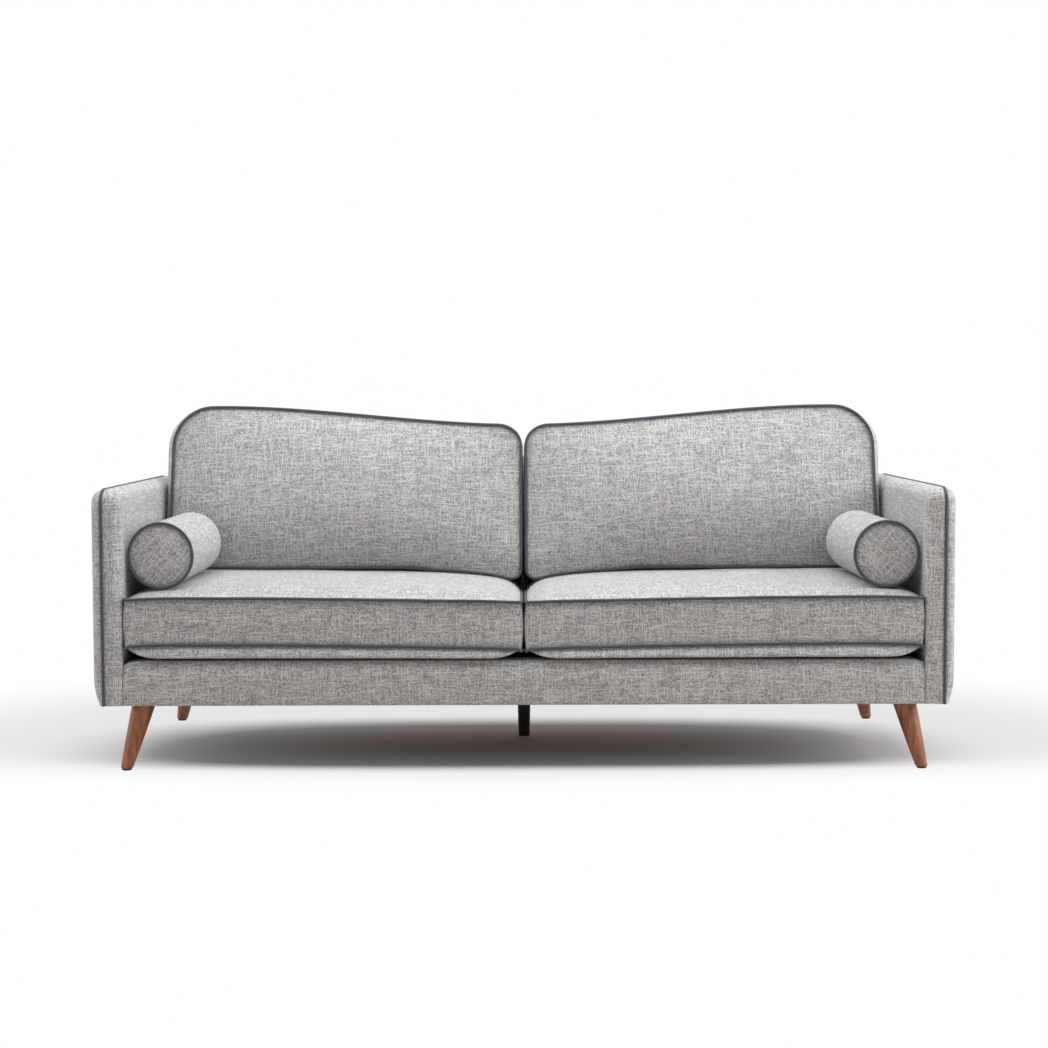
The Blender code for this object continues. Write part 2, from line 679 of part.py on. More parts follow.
def cage(name, cells, boxing_axis, shape):
    """A box cage for a cushion, two cells deep along its boxing, with its two seams creased."""
    counts = [*cells]
    counts.insert(boxing_axis, 2)
    bm = bmesh.new()
    bmesh.ops.create_cube(bm, size=2.0)
    for axis, count in enumerate(counts):
        edges = [e for e in bm.edges if abs(e.verts[0].co[axis] - e.verts[1].co[axis]) > 1.0]
        bmesh.ops.subdivide_edges(bm, edges=edges, cuts=count - 1, use_grid_fill=True)
    crease = bm.edges.layers.float.new("crease_edge")
    face_axes = [axis for axis in range(3) if axis != boxing_axis]

    def on_seam(vert):
        return on_rim(vert.co[boxing_axis]) and any(on_rim(vert.co[axis]) for axis in face_axes)

    for edge in bm.edges:
        first, second = edge.verts
        shared = [on_rim(first.co[axis]) and on_rim((first.co[axis] + second.co[axis]) / 2)
                  for axis in range(3)]
        same_side = any(shared[axis] for axis in face_axes)
        edge.seam = shared[boxing_axis] and same_side and on_seam(first) and on_seam(second)
        edge[crease] = 1.0 if edge.seam else 0.0
    for vert in bm.verts:
        vert.co = shape(*vert.co)
    bmesh.ops.recalc_face_normals(bm, faces=bm.faces)
    mesh = bpy.data.meshes.new(name)
    bm.to_mesh(mesh)
    bm.free()
    mesh.shade_smooth()
    return mesh


def swell(t, s, layer):
    """How far the boxing stands out at a cage point, along the two axes of the face."""
    if abs(layer) > 0.5:
        return 0.0, 0.0
    return [math.copysign(BOXING_SWELL, way) if on_rim(way) else 0.0 for way in (t, s)]


SEAT_INNER = CUSHION_GAP + WELT_REACH
SEAT_OUTER = ARM_INNER - CUSHION_GAP - WELT_REACH
SEAT_FRONT = -DEPTH / 2 + WELT_REACH
SEAT_REAR = rear_face(DECK_TOP) - PAD_FRONT - CUSHION_GAP - WELT_REACH


def seat_point(a, b, c):
    """A point of the right seat cushion's cage, drawn about the middle of its boxing."""
    x = station(a, SEAT_CELLS[0], SEAT_INNER, SEAT_OUTER, SEAT_CORNER, SEAT_CORNER, on_rim(b))
    y = station(b, SEAT_CELLS[1], SEAT_FRONT, SEAT_REAR, SEAT_CORNER, SEAT_CORNER, on_rim(a))
    middle_x = (SEAT_INNER + SEAT_OUTER) / 2
    middle_y = (SEAT_FRONT + SEAT_REAR) / 2
    u = (x - middle_x) / (SEAT_OUTER - middle_x)
    v = (y - middle_y) / (SEAT_REAR - middle_y)
    out_x, out_y = swell(a, b, c)
    x += out_x - math.copysign(SEAT_SIDE_DRAW, u) * (1.0 - v * v) * abs(u)
    y += out_y - math.copysign(SEAT_SIDE_DRAW, v) * (1.0 - u * u) * abs(v)
    fall = 1.0 - u ** SEAT_CROWN_POWER
    crown = SEAT_CROWN * fall * (1.0 - v ** SEAT_CROWN_POWER)
    if c < 0.0:
        crown = SEAT_UNDER_CROWN * fall * (1.0 - v ** SEAT_UNDER_POWER)
    arch = SEAT_SEAM_ARCH * (1.0 - u * u)
    return x, y, c * (SEAT_BOXING / 2 + crown) + arch


BACK_INNER = CUSHION_GAP + WELT_REACH
BACK_OUTER = ARM_INNER - CUSHION_GAP - WELT_REACH


def back_point(a, b, c):
    """A point of the right back cushion's cage, in axes that lean with the back."""
    high = (c + 1.0) / 2
    inner_corner = BACK_FOOT_CORNER + (BACK_INNER_CORNER - BACK_FOOT_CORNER) * high
    outer_corner = BACK_FOOT_CORNER + (BACK_OUTER_CORNER - BACK_FOOT_CORNER) * high
    x = station(a, BACK_CELLS[0], BACK_INNER, BACK_OUTER, inner_corner, outer_corner, on_rim(c))
    middle = (BACK_INNER + BACK_OUTER) / 2
    u = (x - middle) / (BACK_OUTER - middle)
    climb = min((u + 1.0) / 2 / BACK_SLOPE_END, 1.0)
    top = BACK_CUSHION_TALL - BACK_CUSHION_DROP * (1.0 - climb * climb * (3.0 - 2.0 * climb))
    top_corner = BACK_INNER_CORNER + (BACK_OUTER_CORNER - BACK_INNER_CORNER) * (u + 1.0) / 2
    z = station(c, BACK_CELLS[1], 0.0, top, BACK_FOOT_CORNER, top_corner, on_rim(a))
    v = 2.0 * z / top - 1.0
    out_x, out_z = swell(a, c, b)
    x += out_x - math.copysign(BACK_SIDE_DRAW, u) * (1.0 - v * v) * abs(u)
    z += out_z
    crown = BACK_CROWN * (1.0 - u ** BACK_CROWN_POWER) * (1.0 - v ** BACK_CROWN_POWER)
    return x, b * (BACK_BOXING / 2 + crown), z


def seam_loops(mesh):
    """The two stitched seams of a finished cushion, as loops of (place, outward normal)."""
    links = {}
    for edge in mesh.edges:
        if edge.use_seam:
            first, second = edge.vertices
            links.setdefault(first, []).append(second)
            links.setdefault(second, []).append(first)
    loops = []
    while links:
        here = min(links)
        loop = []
        while here in links:
            loop.append(here)
            ahead = [vert for vert in links.pop(here) if vert in links]
            if ahead:
                here = ahead[0]
        loops.append([(mesh.vertices[vert].co.copy(), mesh.vertices[vert].normal.copy()) for vert in loop])
    return loops


def cushion(name, mesh, cord_names, axis):
    """A filled cushion and the cords in its two seams, the lower seam along axis first."""
    body = add(name, mesh, TWEED)
    soften = body.modifiers.new("soft_form", "SUBSURF")
    soften.levels = 1
    soften.render_levels = 1
    loops = seam_loops(evaluated(body))
    loops.sort(key=lambda loop: sum(place[axis] for place, _ in loop) / len(loop))
    cords = []
    for cord_name, loop in zip(cord_names, loops):
        path = [place + normal * WELT_STAND_OFF for place, normal in loop]
        cords.append(cord(cord_name, path, PIPING, True))
    return [body, *cords]


def search_tree(piece):
    """A piece's surface in world space, for measuring, with its points."""
    mesh = evaluated(piece, in_world=True)
    points = [vert.co.copy() for vert in mesh.vertices]
    tree = BVHTree.FromPolygons(points, [polygon.vertices[:] for polygon in mesh.polygons])
    bpy.data.meshes.remove(mesh)
    return points, tree


def room(direction, moving, fixed):
    """How far moving pieces can travel along a direction before they meet fixed ones."""
    moving_trees = [search_tree(piece) for piece in moving]
    fixed_trees = [search_tree(piece) for piece in fixed]
    free = math.inf
    ways = ((moving_trees, fixed_trees, direction), (fixed_trees, moving_trees, -direction))
    for starts, targets, way in ways:
        for points, _ in starts:
            for _, tree in targets:
                hits = [tree.ray_cast(point, way)[3] for point in points]
                free = min([free, *(hit for hit in hits if hit is not None)])
    return free


def settle(empty, pieces, fixed, direction, gap):
    """Moves a cushion along a direction until it lies a gap away from what it rests on."""
    direction = Vector(direction).normalized()
    empty.location += direction * (room(direction, pieces, fixed) - gap)
    bpy.context.view_layer.update()


UP_THE_BACK = Vector((0.0, math.sin(RECLINE), math.cos(RECLINE)))
INTO_THE_BACK = Vector((0.0, math.cos(RECLINE), -math.sin(RECLINE)))
DOWN = Vector((0.0, 0.0, -1.0))
REARWARD = Vector((0.0, 1.0, 0.0))


def named(*names):
    """Pieces that are already made, by name."""
    return [bpy.data.objects[name] for name in names]


def seat_cushions():
    """Two welted box cushions with crowned faces, side by side on the deck."""
    right = cage("seat_cushion", SEAT_CELLS, 2, seat_point)
    start = DECK_TOP + SEAT_BOXING + SEAT_UNDER_CROWN
    for side, mesh in (("right", right), ("left", mirrored(right))):
        empty = slide_empty("seat_slide_" + side)
        empty.location.z = start
        cord_names = ("seat_welt_bottom_" + side, "seat_welt_top_" + side)
        pieces = cushion("seat_cushion_" + side, mesh, cord_names, 2)
        held_by(empty, pieces)
        settle(empty, pieces, named("seat_deck", "front_border"), DOWN, COVER_GAP)


def back_cushions():
    """Two welted cushions that lean on the inside back and stand on the seat cushions."""
    right = cage("back_cushion", BACK_CELLS, 1, back_point)
    for side, mesh in (("right", right), ("left", mirrored(right))):
        empty = slide_empty("back_slide_" + side, -RECLINE)
        in_front = rear_face(DECK_TOP) - PAD_FRONT - BACK_BOXING - BACK_CROWN
        empty.location = (0.0, in_front, DECK_TOP + SEAT_BOXING + SEAT_BOXING)
        cord_names = ("back_welt_front_" + side, "back_welt_rear_" + side)
        pieces = cushion("back_cushion_" + side, mesh, cord_names, 1)
        held_by(empty, pieces)
        settle(empty, pieces, named("inside_back"), INTO_THE_BACK, COVER_GAP)
        settle(empty, pieces, named("seat_cushion_" + side, "seat_welt_top_" + side), -UP_THE_BACK, COVER_GAP)


def bolster_profile():
    """Half of a bolster, (radius, z) from its top end to its bottom end."""
    half = BOLSTER_LENGTH / 2
    rings = 4
    dome = [(BOLSTER_RADIUS * share / rings, half + BOLSTER_END_DOME * (1.0 - (share / rings) ** 2))
            for share in range(rings)]
    barrel = []
    for step in range(rings + 1):
        t = 1.0 - 2.0 * step / rings
        barrel.append((BOLSTER_RADIUS + BOLSTER_SWELL * (1.0 - t * t), half * t))
    foot = [(radius, -height) for radius, height in reversed(dome)]
    return dome + barrel + foot


def bolsters():
    """Two round bolsters along the arms, with a cord in the seam of each end."""
    diagonal = WELT_STAND_OFF * math.sqrt(0.5)
    ring_radius = BOLSTER_RADIUS + diagonal
    ring_height = BOLSTER_LENGTH / 2 + diagonal
    place_x = ARM_INNER - BOLSTER_ARM_GAP - ring_radius - WELT_RADIUS
    for side, sign in SIDES:
        empty = slide_empty("bolster_slide_" + side, -math.pi / 2)
        body = turned("bolster_" + side, bolster_profile(), BOLSTER_SIDES, TWEED)
        pieces = [body]
        for end, way in (("front", -1), ("rear", 1)):
            turns = [math.tau * step / BOLSTER_SIDES for step in range(BOLSTER_SIDES)]
            round_end = [(ring_radius * math.cos(turn), ring_radius * math.sin(turn)) for turn in turns]
            ring = [(u, v, way * ring_height) for u, v in round_end]
            pieces.append(cord(f"bolster_welt_{end}_{side}", ring, PIPING, True))
        held_by(empty, pieces)
        seat = named("seat_cushion_" + side, "seat_welt_top_" + side)
        back = named("back_cushion_" + side, "back_welt_front_" + side)
        above_seat = DECK_TOP + SEAT_UNDER_CROWN + SEAT_BOXING + SEAT_CROWN + ring_radius + WELT_RADIUS
        empty.location = (sign * place_x, FRONT_FACE - BOLSTER_LENGTH, above_seat)
        settle(empty, pieces, back, REARWARD, BOLSTER_BACK_GAP)
        settle(empty, pieces, seat, DOWN, COVER_GAP)


# Legs: splayed turned tapers cut level at top and foot, each with a bolt up into its block
def legs():
    """Four walnut legs on glides, and a black support leg under the middle rail."""
    foot_level = GLIDE_THICKNESS + TOUCH
    rise = BASE_HEIGHT - foot_level
    for side, sign in SIDES:
        for end, y, way in (("front", LEG_FRONT_Y, -1), ("rear", LEG_REAR_Y, 1)):
            name = f"{end}_{side}"
            top = Vector((sign * LEG_X, y, BASE_HEIGHT))
            foot = top + Vector((sign * LEG_SPLAY_SIDE, way * LEG_SPLAY_END, -rise))
            axis = top - foot
            spare = LEG_TOP_RADIUS / axis.length
            slope = LEG_TOP_RADIUS - LEG_FOOT_RADIUS
            upper = (LEG_TOP_RADIUS + slope * spare, axis.length * (1.0 + spare))
            lower = (LEG_FOOT_RADIUS - slope * spare, -axis.length * spare)
            leg = turned("leg_" + name, [(0.0, upper[1]), upper, lower, (0.0, lower[1])], LEG_SIDES, WALNUT)
            leg.location = foot
            leg.rotation_euler = axis.to_track_quat("Z", "Y").to_euler()
            reach = LEG_TOP_RADIUS * 3 + LEG_SPLAY_SIDE + LEG_SPLAY_END
            trim_low = (top.x - reach, y - reach, foot_level)
            trim_high = (top.x + reach, y + reach, BASE_HEIGHT)
            trim = block("leg_trim_" + name, trim_low, trim_high, None, CUTTERS)
            shaped_by(leg, trim, "INTERSECT")
            bolt_foot = BASE_HEIGHT - BOLT_DEPTH
            bolt_tip = BASE_HEIGHT + BOLT_LENGTH
            bolt = cylinder("leg_bolt_" + name, BOLT_RADIUS, bolt_foot, bolt_tip, BOLT_SIDES, None, CUTTERS)
            bolt.location = (top.x, top.y, 0.0)
            shaped_by(leg, bolt, "UNION")
            glide = cylinder("glide_" + name, GLIDE_RADIUS, 0.0, GLIDE_THICKNESS, LEG_SIDES, GLIDE)
            glide.location = (foot.x, foot.y, 0.0)
    support = turned("centre_leg", [
        (0.0, BASE_HEIGHT + BOLT_LENGTH),
        (BOLT_RADIUS, BASE_HEIGHT + BOLT_LENGTH),
        (BOLT_RADIUS, BASE_HEIGHT),
        (CENTRE_LEG_TOP_RADIUS, BASE_HEIGHT),
        (CENTRE_LEG_FOOT_RADIUS, 0.0),
        (0.0, 0.0),
    ], LEG_SIDES, BLACK_WOOD)
    support.location.y = CENTRE_LEG_Y


base_frame()
seat_platform()
front_border()
back_frame()
back_covers()
arms()
seat_cushions()
back_cushions()
bolsters()
legs()
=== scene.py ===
"""The looks of a sofa with slim upright arms, loose welted cushions and two bolsters.

Metres, +Z up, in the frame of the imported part: +X is the viewer's right, the front faces -Y.
"""
import math

import bpy
import numpy as np
from mathutils import Matrix, Vector, noise
from mathutils.bvhtree import BVHTree


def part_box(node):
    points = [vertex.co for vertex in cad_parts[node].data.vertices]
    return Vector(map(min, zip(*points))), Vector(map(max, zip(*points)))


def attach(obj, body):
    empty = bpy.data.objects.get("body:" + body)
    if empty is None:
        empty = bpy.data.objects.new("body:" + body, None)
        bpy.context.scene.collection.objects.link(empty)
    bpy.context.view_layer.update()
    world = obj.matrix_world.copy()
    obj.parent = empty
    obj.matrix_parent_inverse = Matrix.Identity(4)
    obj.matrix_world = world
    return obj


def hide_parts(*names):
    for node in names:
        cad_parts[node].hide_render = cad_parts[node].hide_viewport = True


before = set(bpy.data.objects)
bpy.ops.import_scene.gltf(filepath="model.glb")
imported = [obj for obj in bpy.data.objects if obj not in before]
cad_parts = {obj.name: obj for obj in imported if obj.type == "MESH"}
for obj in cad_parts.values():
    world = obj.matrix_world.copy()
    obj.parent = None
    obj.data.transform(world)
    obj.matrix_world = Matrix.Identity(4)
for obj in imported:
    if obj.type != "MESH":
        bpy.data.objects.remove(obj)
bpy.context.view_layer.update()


# Timber frame
# Rails, posts and corner blocks of planed pine, glued and screwed into one frame under the covers.
# Each board keeps its solid and takes a grain that runs along its length.
OBJECT_PLACE = 3
SEEING_RAYS = (0, 3, 6)


class Link:
    """A socket in a finish's nodes. Sums of links and numbers add Math nodes."""

    def __init__(self, tree, socket=None):
        self.tree = tree
        self.socket = socket

    def feed(self, socket, value):
        """Joins a link to a socket, or sets the socket to a value."""
        if isinstance(value, Link):
            self.tree.links.new(value.socket, socket)
        else:
            socket.default_value = value

    def node(self, kind, settings=None, sockets=None, out=0):
        """Adds a node: its type, its settings, then the values or links of its sockets."""
        made = self.tree.nodes.new("ShaderNode" + kind)
        for name, value in (settings or {}).items():
            setattr(made, name, value)
        for name, value in (sockets or {}).items():
            self.feed(made.inputs[name], value)
        return Link(self.tree, made.outputs[out])

    def maths(self, operation, *others):
        """Adds a Math node on this link and other values."""
        return self.node("Math", {"operation": operation}, dict(enumerate((self, *others))))

    def __add__(self, other):
        return self.maths("ADD", other)

    def __sub__(self, other):
        return self.maths("SUBTRACT", other)

    def __rsub__(self, other):
        return self.node("Math", {"operation": "SUBTRACT"}, {0: other, 1: self})

    def __mul__(self, other):
        return self.maths("MULTIPLY", other)

    def __truediv__(self, other):
        return self.maths("DIVIDE", other)

    __radd__ = __add__
    __rmul__ = __mul__

    def axes(self):
        """The three numbers of a vector."""
        return [self.node("SeparateXYZ", None, {0: self}, out) for out in range(3)]

    def point(self, x, y, z=0.0):
        """A vector from three numbers or links."""
        return self.node("CombineXYZ", None, {0: x, 1: y, 2: z})

    def place(self):
        """Where a point lies in its object, in metres."""
        return self.node("TexCoord", out=OBJECT_PLACE)

    def noise(self, place, scale, detail=2.0):
        """Cloudy noise at a place, about 0.5."""
        return self.node("TexNoise", None, {"Vector": place, "Scale": scale, "Detail": detail})

    def streaks(self, place, stretch, scale, detail):
        """Noise at a place that is stretched or squeezed along each axis."""
        return self.noise(self.node("Mapping", None, {"Vector": place, "Scale": stretch}), scale, detail)

    def seen(self):
        """1 where the camera looks, straight, by a mirror or through glass, and 0 for other light."""
        camera, mirror, glass = [self.node("LightPath", out=index) for index in SEEING_RAYS]
        return camera.maths("MAXIMUM", mirror).maths("MAXIMUM", glass)

    def between(self, low, high):
        """This value as a smooth share, 0 at low and 1 at high."""
        return self.node("MapRange", {"interpolation_type": "SMOOTHSTEP"},
                         {"Value": self, "From Min": low, "From Max": high})

    def mixed(self, first, second):
        """A colour between two colours, by this share."""
        return self.node("Mix", {"data_type": "RGBA"}, {0: self, 6: first, 7: second}, out=2)


def shade(red, green, blue):
    """A colour written as it shows on a screen, as the linear colour that shaders take."""
    parts = [part / 255 for part in (red, green, blue)]
    return (*(p / 12.92 if p <= 0.04045 else ((p + 0.055) / 1.055) ** 2.4 for p in parts), 1.0)


def finish(name, roughness, metallic=0.0):
    """A new finish: its material, the start of its nodes and its shader's sockets."""
    material = bpy.data.materials.new(name)
    material.use_nodes = True
    sockets = material.node_tree.nodes["Principled BSDF"].inputs
    sockets["Roughness"].default_value = roughness
    sockets["Metallic"].default_value = metallic
    return material, Link(material.node_tree), sockets


def raised(start, sockets, height, distance, strength):
    """Lets a height, from 0 to 1, show as a relief that is distance metres deep."""
    bump = start.node("Bump", None, {"Height": height, "Distance": distance, "Strength": strength})
    start.feed(sockets["Normal"], bump)


def sawn_wood(name, along, dark, light, roughness):
    """Long-grained wood: streaks and pores stretched along one axis of the frame."""
    material, start, sockets = finish(name, roughness)
    place = start.place()
    stretch = [1.2 if axis == along else 34.0 for axis in "xyz"]
    board = start.node("Mapping", None, {"Vector": place, "Scale": stretch})
    bands = start.noise(board, 1.0, 3.0)
    pores = start.streaks(board, (6.0, 6.0, 6.0), 3.0, 4.0)
    tone = (bands * 0.75 + pores * 0.25).between(0.32, 0.68)
    start.feed(sockets["Base Color"], tone.mixed(dark, light))
    start.feed(sockets["Roughness"], roughness + 0.2 * (pores - 0.5))
    raised(start, sockets, pores, 0.0004, 0.5)
    return material


def dress(material, names):
    """Gives a finish to frame nodes that keep their solids."""
    for name in names:
        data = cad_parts[name].data
        data.materials.clear()
        data.materials.append(material)


PINE_DARK = shade(176, 130, 84)
PINE_LIGHT = shade(222, 188, 142)
PINE_ROUGHNESS = 0.68
pine = {axis: sawn_wood("pine_along_" + axis, axis, PINE_DARK, PINE_LIGHT, PINE_ROUGHNESS)
        for axis in "xyz"}
dress(pine["x"], ["front_rail", "rear_rail", "back_top_rail"])
dress(pine["y"], ["centre_rail", "end_rail_left", "end_rail_right"])
dress(pine["z"], ["back_post_left", "back_post_centre", "back_post_right"])
dress(pine["x"], [f"corner_block_{end}_{side}" for end in ("front", "rear") for side in ("left", "right")])


# Arm panels
# Birch plywood cut to the arm's side view, with three lightening holes, screwed to the end rails.
# The thin plies show as bands on every sawn edge.
PLY_PAIR = 0.0028
PLY_DARK = shade(168, 124, 82)
PLY_LIGHT = shade(216, 184, 142)
VENEER = shade(228, 200, 160)


def birch_plywood():
    """Pale face veneer, with plies that show through the thickness of the panel."""
    material, start, sockets = finish("birch_plywood", 0.6)
    place = start.place()
    across, _, _ = place.axes()
    ply = (across * (math.tau / PLY_PAIR)).maths("SINE").between(-0.3, 0.3)
    grain = start.streaks(place, (30.0, 2.0, 30.0), 2.0, 4.0)
    edge = ply.mixed(PLY_DARK, PLY_LIGHT)
    start.feed(sockets["Base Color"], (grain * 0.5).mixed(edge, VENEER))
    raised(start, sockets, grain, 0.0003, 0.4)
    return material


dress(birch_plywood(), ["arm_panel_left", "arm_panel_right"])


# Seat springs and back webbing
# Six zigzag springs of drawn steel wire run from front rail to rear rail, under the deck.
# Three straps of woven jute and elastic are stapled across the back posts.
STEEL_DARK = shade(92, 92, 94)
STEEL_LIGHT = shade(176, 176, 178)
JUTE_DARK = shade(92, 74, 52)
JUTE_LIGHT = shade(170, 142, 102)
JUTE_YARN = 0.0032


def drawn_steel():
    """Oiled grey wire with fine scuffs."""
    material, start, sockets = finish("drawn_steel", 0.35, 1.0)
    scuffs = start.noise(start.place(), 420.0, 4.0)
    start.feed(sockets["Base Color"], scuffs.mixed(STEEL_DARK, STEEL_LIGHT))
    start.feed(sockets["Roughness"], 0.2 + 0.35 * scuffs)
    return material


def jute_webbing():
    """A brown strap woven of thick yarns."""
    material, start, sockets = finish("jute_webbing", 0.9)
    across, _, up = start.place().axes()
    warp = (across * (math.tau / JUTE_YARN)).maths("SINE")
    weft = (up * (math.tau / JUTE_YARN)).maths("SINE")
    lay = (warp * weft).between(-0.8, 0.8)
    fibre = start.noise(start.place(), 600.0, 3.0)
    tone = lay * 0.6 + fibre * 0.4
    start.feed(sockets["Base Color"], tone.mixed(JUTE_DARK, JUTE_LIGHT))
    raised(start, sockets, lay, 0.0006, 0.8)
    return material


spring_steel = drawn_steel()
dress(spring_steel, [f"seat_spring_{side}_{row}" for side in ("left", "right") for row in (1, 2, 3)])
dress(jute_webbing(), ["back_webbing_low", "back_webbing_middle", "back_webbing_high"])


# Legs, glides and support leg
# Four legs turned from walnut, splayed both ways, with a hanger bolt up into each corner block.
# A moulded glide is nailed under each foot, and a short black leg stands under the middle rail.
WALNUT_DARK = shade(116, 62, 35)
WALNUT_LIGHT = shade(186, 114, 69)
WALNUT_PORE = shade(52, 26, 16)
STAIN_DARK = shade(16, 14, 14)
STAIN_LIGHT = shade(44, 38, 36)
GLIDE_DARK = shade(26, 22, 20)
GLIDE_LIGHT = shade(52, 46, 42)
TURNED_SHARP = math.radians(40.0)


def walnut():
    """Oiled walnut: reddish brown, with long dark streaks down the leg and short pores."""
    material, start, sockets = finish("oiled_walnut", 0.38)
    place = start.place()
    streaks = start.streaks(place, (60.0, 60.0, 5.0), 1.6, 4.0)
    figure = start.streaks(place, (18.0, 18.0, 2.2), 1.0, 2.0)
    pores = start.streaks(place, (900.0, 900.0, 60.0), 1.0, 2.0)
    tone = (streaks * 0.6 + figure * 0.4).between(0.36, 0.64)
    colour = tone.mixed(WALNUT_DARK, WALNUT_LIGHT)
    dark_pores = pores.between(0.60, 0.72)
    start.feed(sockets["Base Color"], (dark_pores * 0.55).mixed(colour, WALNUT_PORE))
    start.feed(sockets["Roughness"], 0.30 + 0.2 * streaks)
    sockets["Coat Weight"].default_value = 0.15
    sockets["Coat Roughness"].default_value = 0.25
    raised(start, sockets, 1.0 - dark_pores, 0.0002, 0.5)
    return material


def black_stained_wood():
    """A stained support leg: near black, with a little grain left in its gloss."""
    material, start, sockets = finish("black_stained_wood", 0.45)
    place = start.place()
    grain = start.streaks(place, (90.0, 90.0, 6.0), 2.0, 4.0)
    start.feed(sockets["Base Color"], grain.mixed(STAIN_DARK, STAIN_LIGHT))
    start.feed(sockets["Roughness"], 0.36 + 0.25 * grain)
    raised(start, sockets, grain, 0.0003, 0.3)
    return material


def moulded_glide():
    """Dark plastic with a fine spark-eroded grain."""
    material, start, sockets = finish("moulded_glide", 0.5)
    grain = start.noise(start.place(), 1500.0, 2.0)
    start.feed(sockets["Base Color"], grain.mixed(GLIDE_DARK, GLIDE_LIGHT))
    raised(start, sockets, grain, 0.0001, 0.4)
    return material


def add(name, mesh, material, body, slot, *nodes):
    """A finished piece that rides on a body and stands for frame nodes."""
    piece = bpy.data.objects.new(name, mesh)
    bpy.context.scene.collection.objects.link(piece)
    mesh.materials.clear()
    mesh.materials.append(material)
    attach(piece, body)
    if nodes:
        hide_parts(*nodes)
    return piece


def ring_faces(rings):
    """Four-cornered faces between each closed ring of point numbers and the next."""
    return [tuple(int(corner) for corner in face) for lower, upper in zip(rings, rings[1:])
            for face in zip(lower, np.roll(lower, -1), np.roll(upper, -1), upper)]


def turned(name, profile, sides, axis_foot, axis_head):
    """A mesh turned about a line, from rings (radius, share of the line's length), foot to head."""
    points = []
    for radius, share in profile:
        centre = axis_foot.lerp(axis_head, share)
        for step in range(sides):
            turn = math.tau * step / sides
            points.append(centre + Vector((radius * math.cos(turn), radius * math.sin(turn), 0.0)))
    rings = np.arange(len(points)).reshape(-1, sides).tolist()
    mesh = bpy.data.meshes.new(name)
    mesh.from_pydata(points, [], [rings[0][::-1], rings[-1], *ring_faces(rings)])
    mesh.shade_smooth()
    mesh.set_sharp_from_angle(angle=TURNED_SHARP)
    return mesh


LEG_SIDES = 72
LEG_RINGS = 24
LEG_SWELL = 0.0008
SMALL_SIDES = 48
FITTING_GAP = 0.0003
LEG_TOP_RADIUS = 0.0282
LEG_FOOT_RADIUS = 0.0143
LEG_SPLAY = (0.035, 0.045)
EASE = 0.0012
FOOT_EASE = 0.0025
FOOT_BEND = 0.3
SUPPORT_TOP_RADIUS = 0.018
SUPPORT_FOOT_RADIUS = 0.0145
SUPPORT_FOOT_EASE = 0.0015
SUPPORT_EASE_SHARES = (0.012, 0.995)
GLIDE_BUTTON = ((0.0015, 0.0), (0.0004, 0.12), (0.0, 0.35), (0.0, 0.85), (0.0006, 1.0))
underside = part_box("dust_cover")[0].z - FITTING_GAP
oiled_walnut = walnut()
glide_plastic = moulded_glide()
for side, sign in (("right", 1), ("left", -1)):
    for end, way in (("front", -1), ("rear", 1)):
        glide_low, glide_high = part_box(f"glide_{end}_{side}")
        centre = (glide_low + glide_high) / 2
        foot = Vector((centre.x, centre.y, glide_high.z + FITTING_GAP))
        head = Vector((foot.x - sign * LEG_SPLAY[0], foot.y - way * LEG_SPLAY[1], underside))
        rise = head.z - foot.z
        taper = LEG_TOP_RADIUS - LEG_FOOT_RADIUS
        swell = [(LEG_FOOT_RADIUS + taper * share + LEG_SWELL * math.sin(math.pi * share), share)
                 for share in np.linspace(FOOT_EASE / rise, 1.0 - EASE / rise, LEG_RINGS)]
        profile = [(LEG_FOOT_RADIUS - FOOT_EASE, 0.0),
                   (LEG_FOOT_RADIUS - FOOT_EASE * FOOT_BEND, FOOT_EASE * FOOT_BEND / rise)]
        profile += [*swell, (LEG_TOP_RADIUS - EASE, 1.0)]
        leg = turned(f"turned_leg_{end}_{side}", profile, LEG_SIDES, foot, head)
        add(f"turned_leg_{end}_{side}", leg, oiled_walnut, "frame", "walnut", f"leg_{end}_{side}")
        radius = (glide_high.x - glide_low.x) / 2
        button = [(radius - drawn_in, share) for drawn_in, share in GLIDE_BUTTON]
        low = Vector((centre.x, centre.y, glide_low.z))
        high = Vector((centre.x, centre.y, glide_high.z))
        disc = turned(f"moulded_glide_{end}_{side}", button, SMALL_SIDES, low, high)
        add(f"moulded_glide_{end}_{side}", disc, glide_plastic, "frame", "glide", f"glide_{end}_{side}")

leg_low, leg_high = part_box("centre_leg")
middle = (leg_low + leg_high) / 2
support_profile = [(SUPPORT_FOOT_RADIUS - SUPPORT_FOOT_EASE, 0.0),
                   (SUPPORT_FOOT_RADIUS, SUPPORT_EASE_SHARES[0]),
                   (SUPPORT_TOP_RADIUS, SUPPORT_EASE_SHARES[1]), (SUPPORT_TOP_RADIUS - EASE, 1.0)]
support = turned("support_leg", support_profile, SMALL_SIDES, Vector((middle.x, middle.y, 0.0)),
                 Vector((middle.x, middle.y, underside)))
add("support_leg", support, black_stained_wood(), "frame", "black_wood", "centre_leg")


# Cloth of the covers
# A heavy slub tweed in warm light grey: thick uneven yarns, woven one over one, with pale slubs that
# run both ways and darker yarns between. Every cover has a map in metres, so the weave keeps its scale.
WEAVE = "weave"
YARN = 0.0021
YARN_WANDER = 0.0016
YARN_DARK = shade(116, 114, 113)
YARN_LIGHT = shade(222, 220, 219)
DARK_STRETCH = shade(100, 98, 97)
PALE_SLUB = shade(244, 243, 241)
# Painted shade: the colour of the gaps between yarns.
PAINTED_GAP_SHADE = shade(104, 101, 100)
DARK_SHARE = 0.21
SLUB_SHARE = 0.38
PAINTED_GAP_SHADE_SHARE = 0.3
SHEEN_TINT = (0.96, 0.98, 1.0, 1.0)


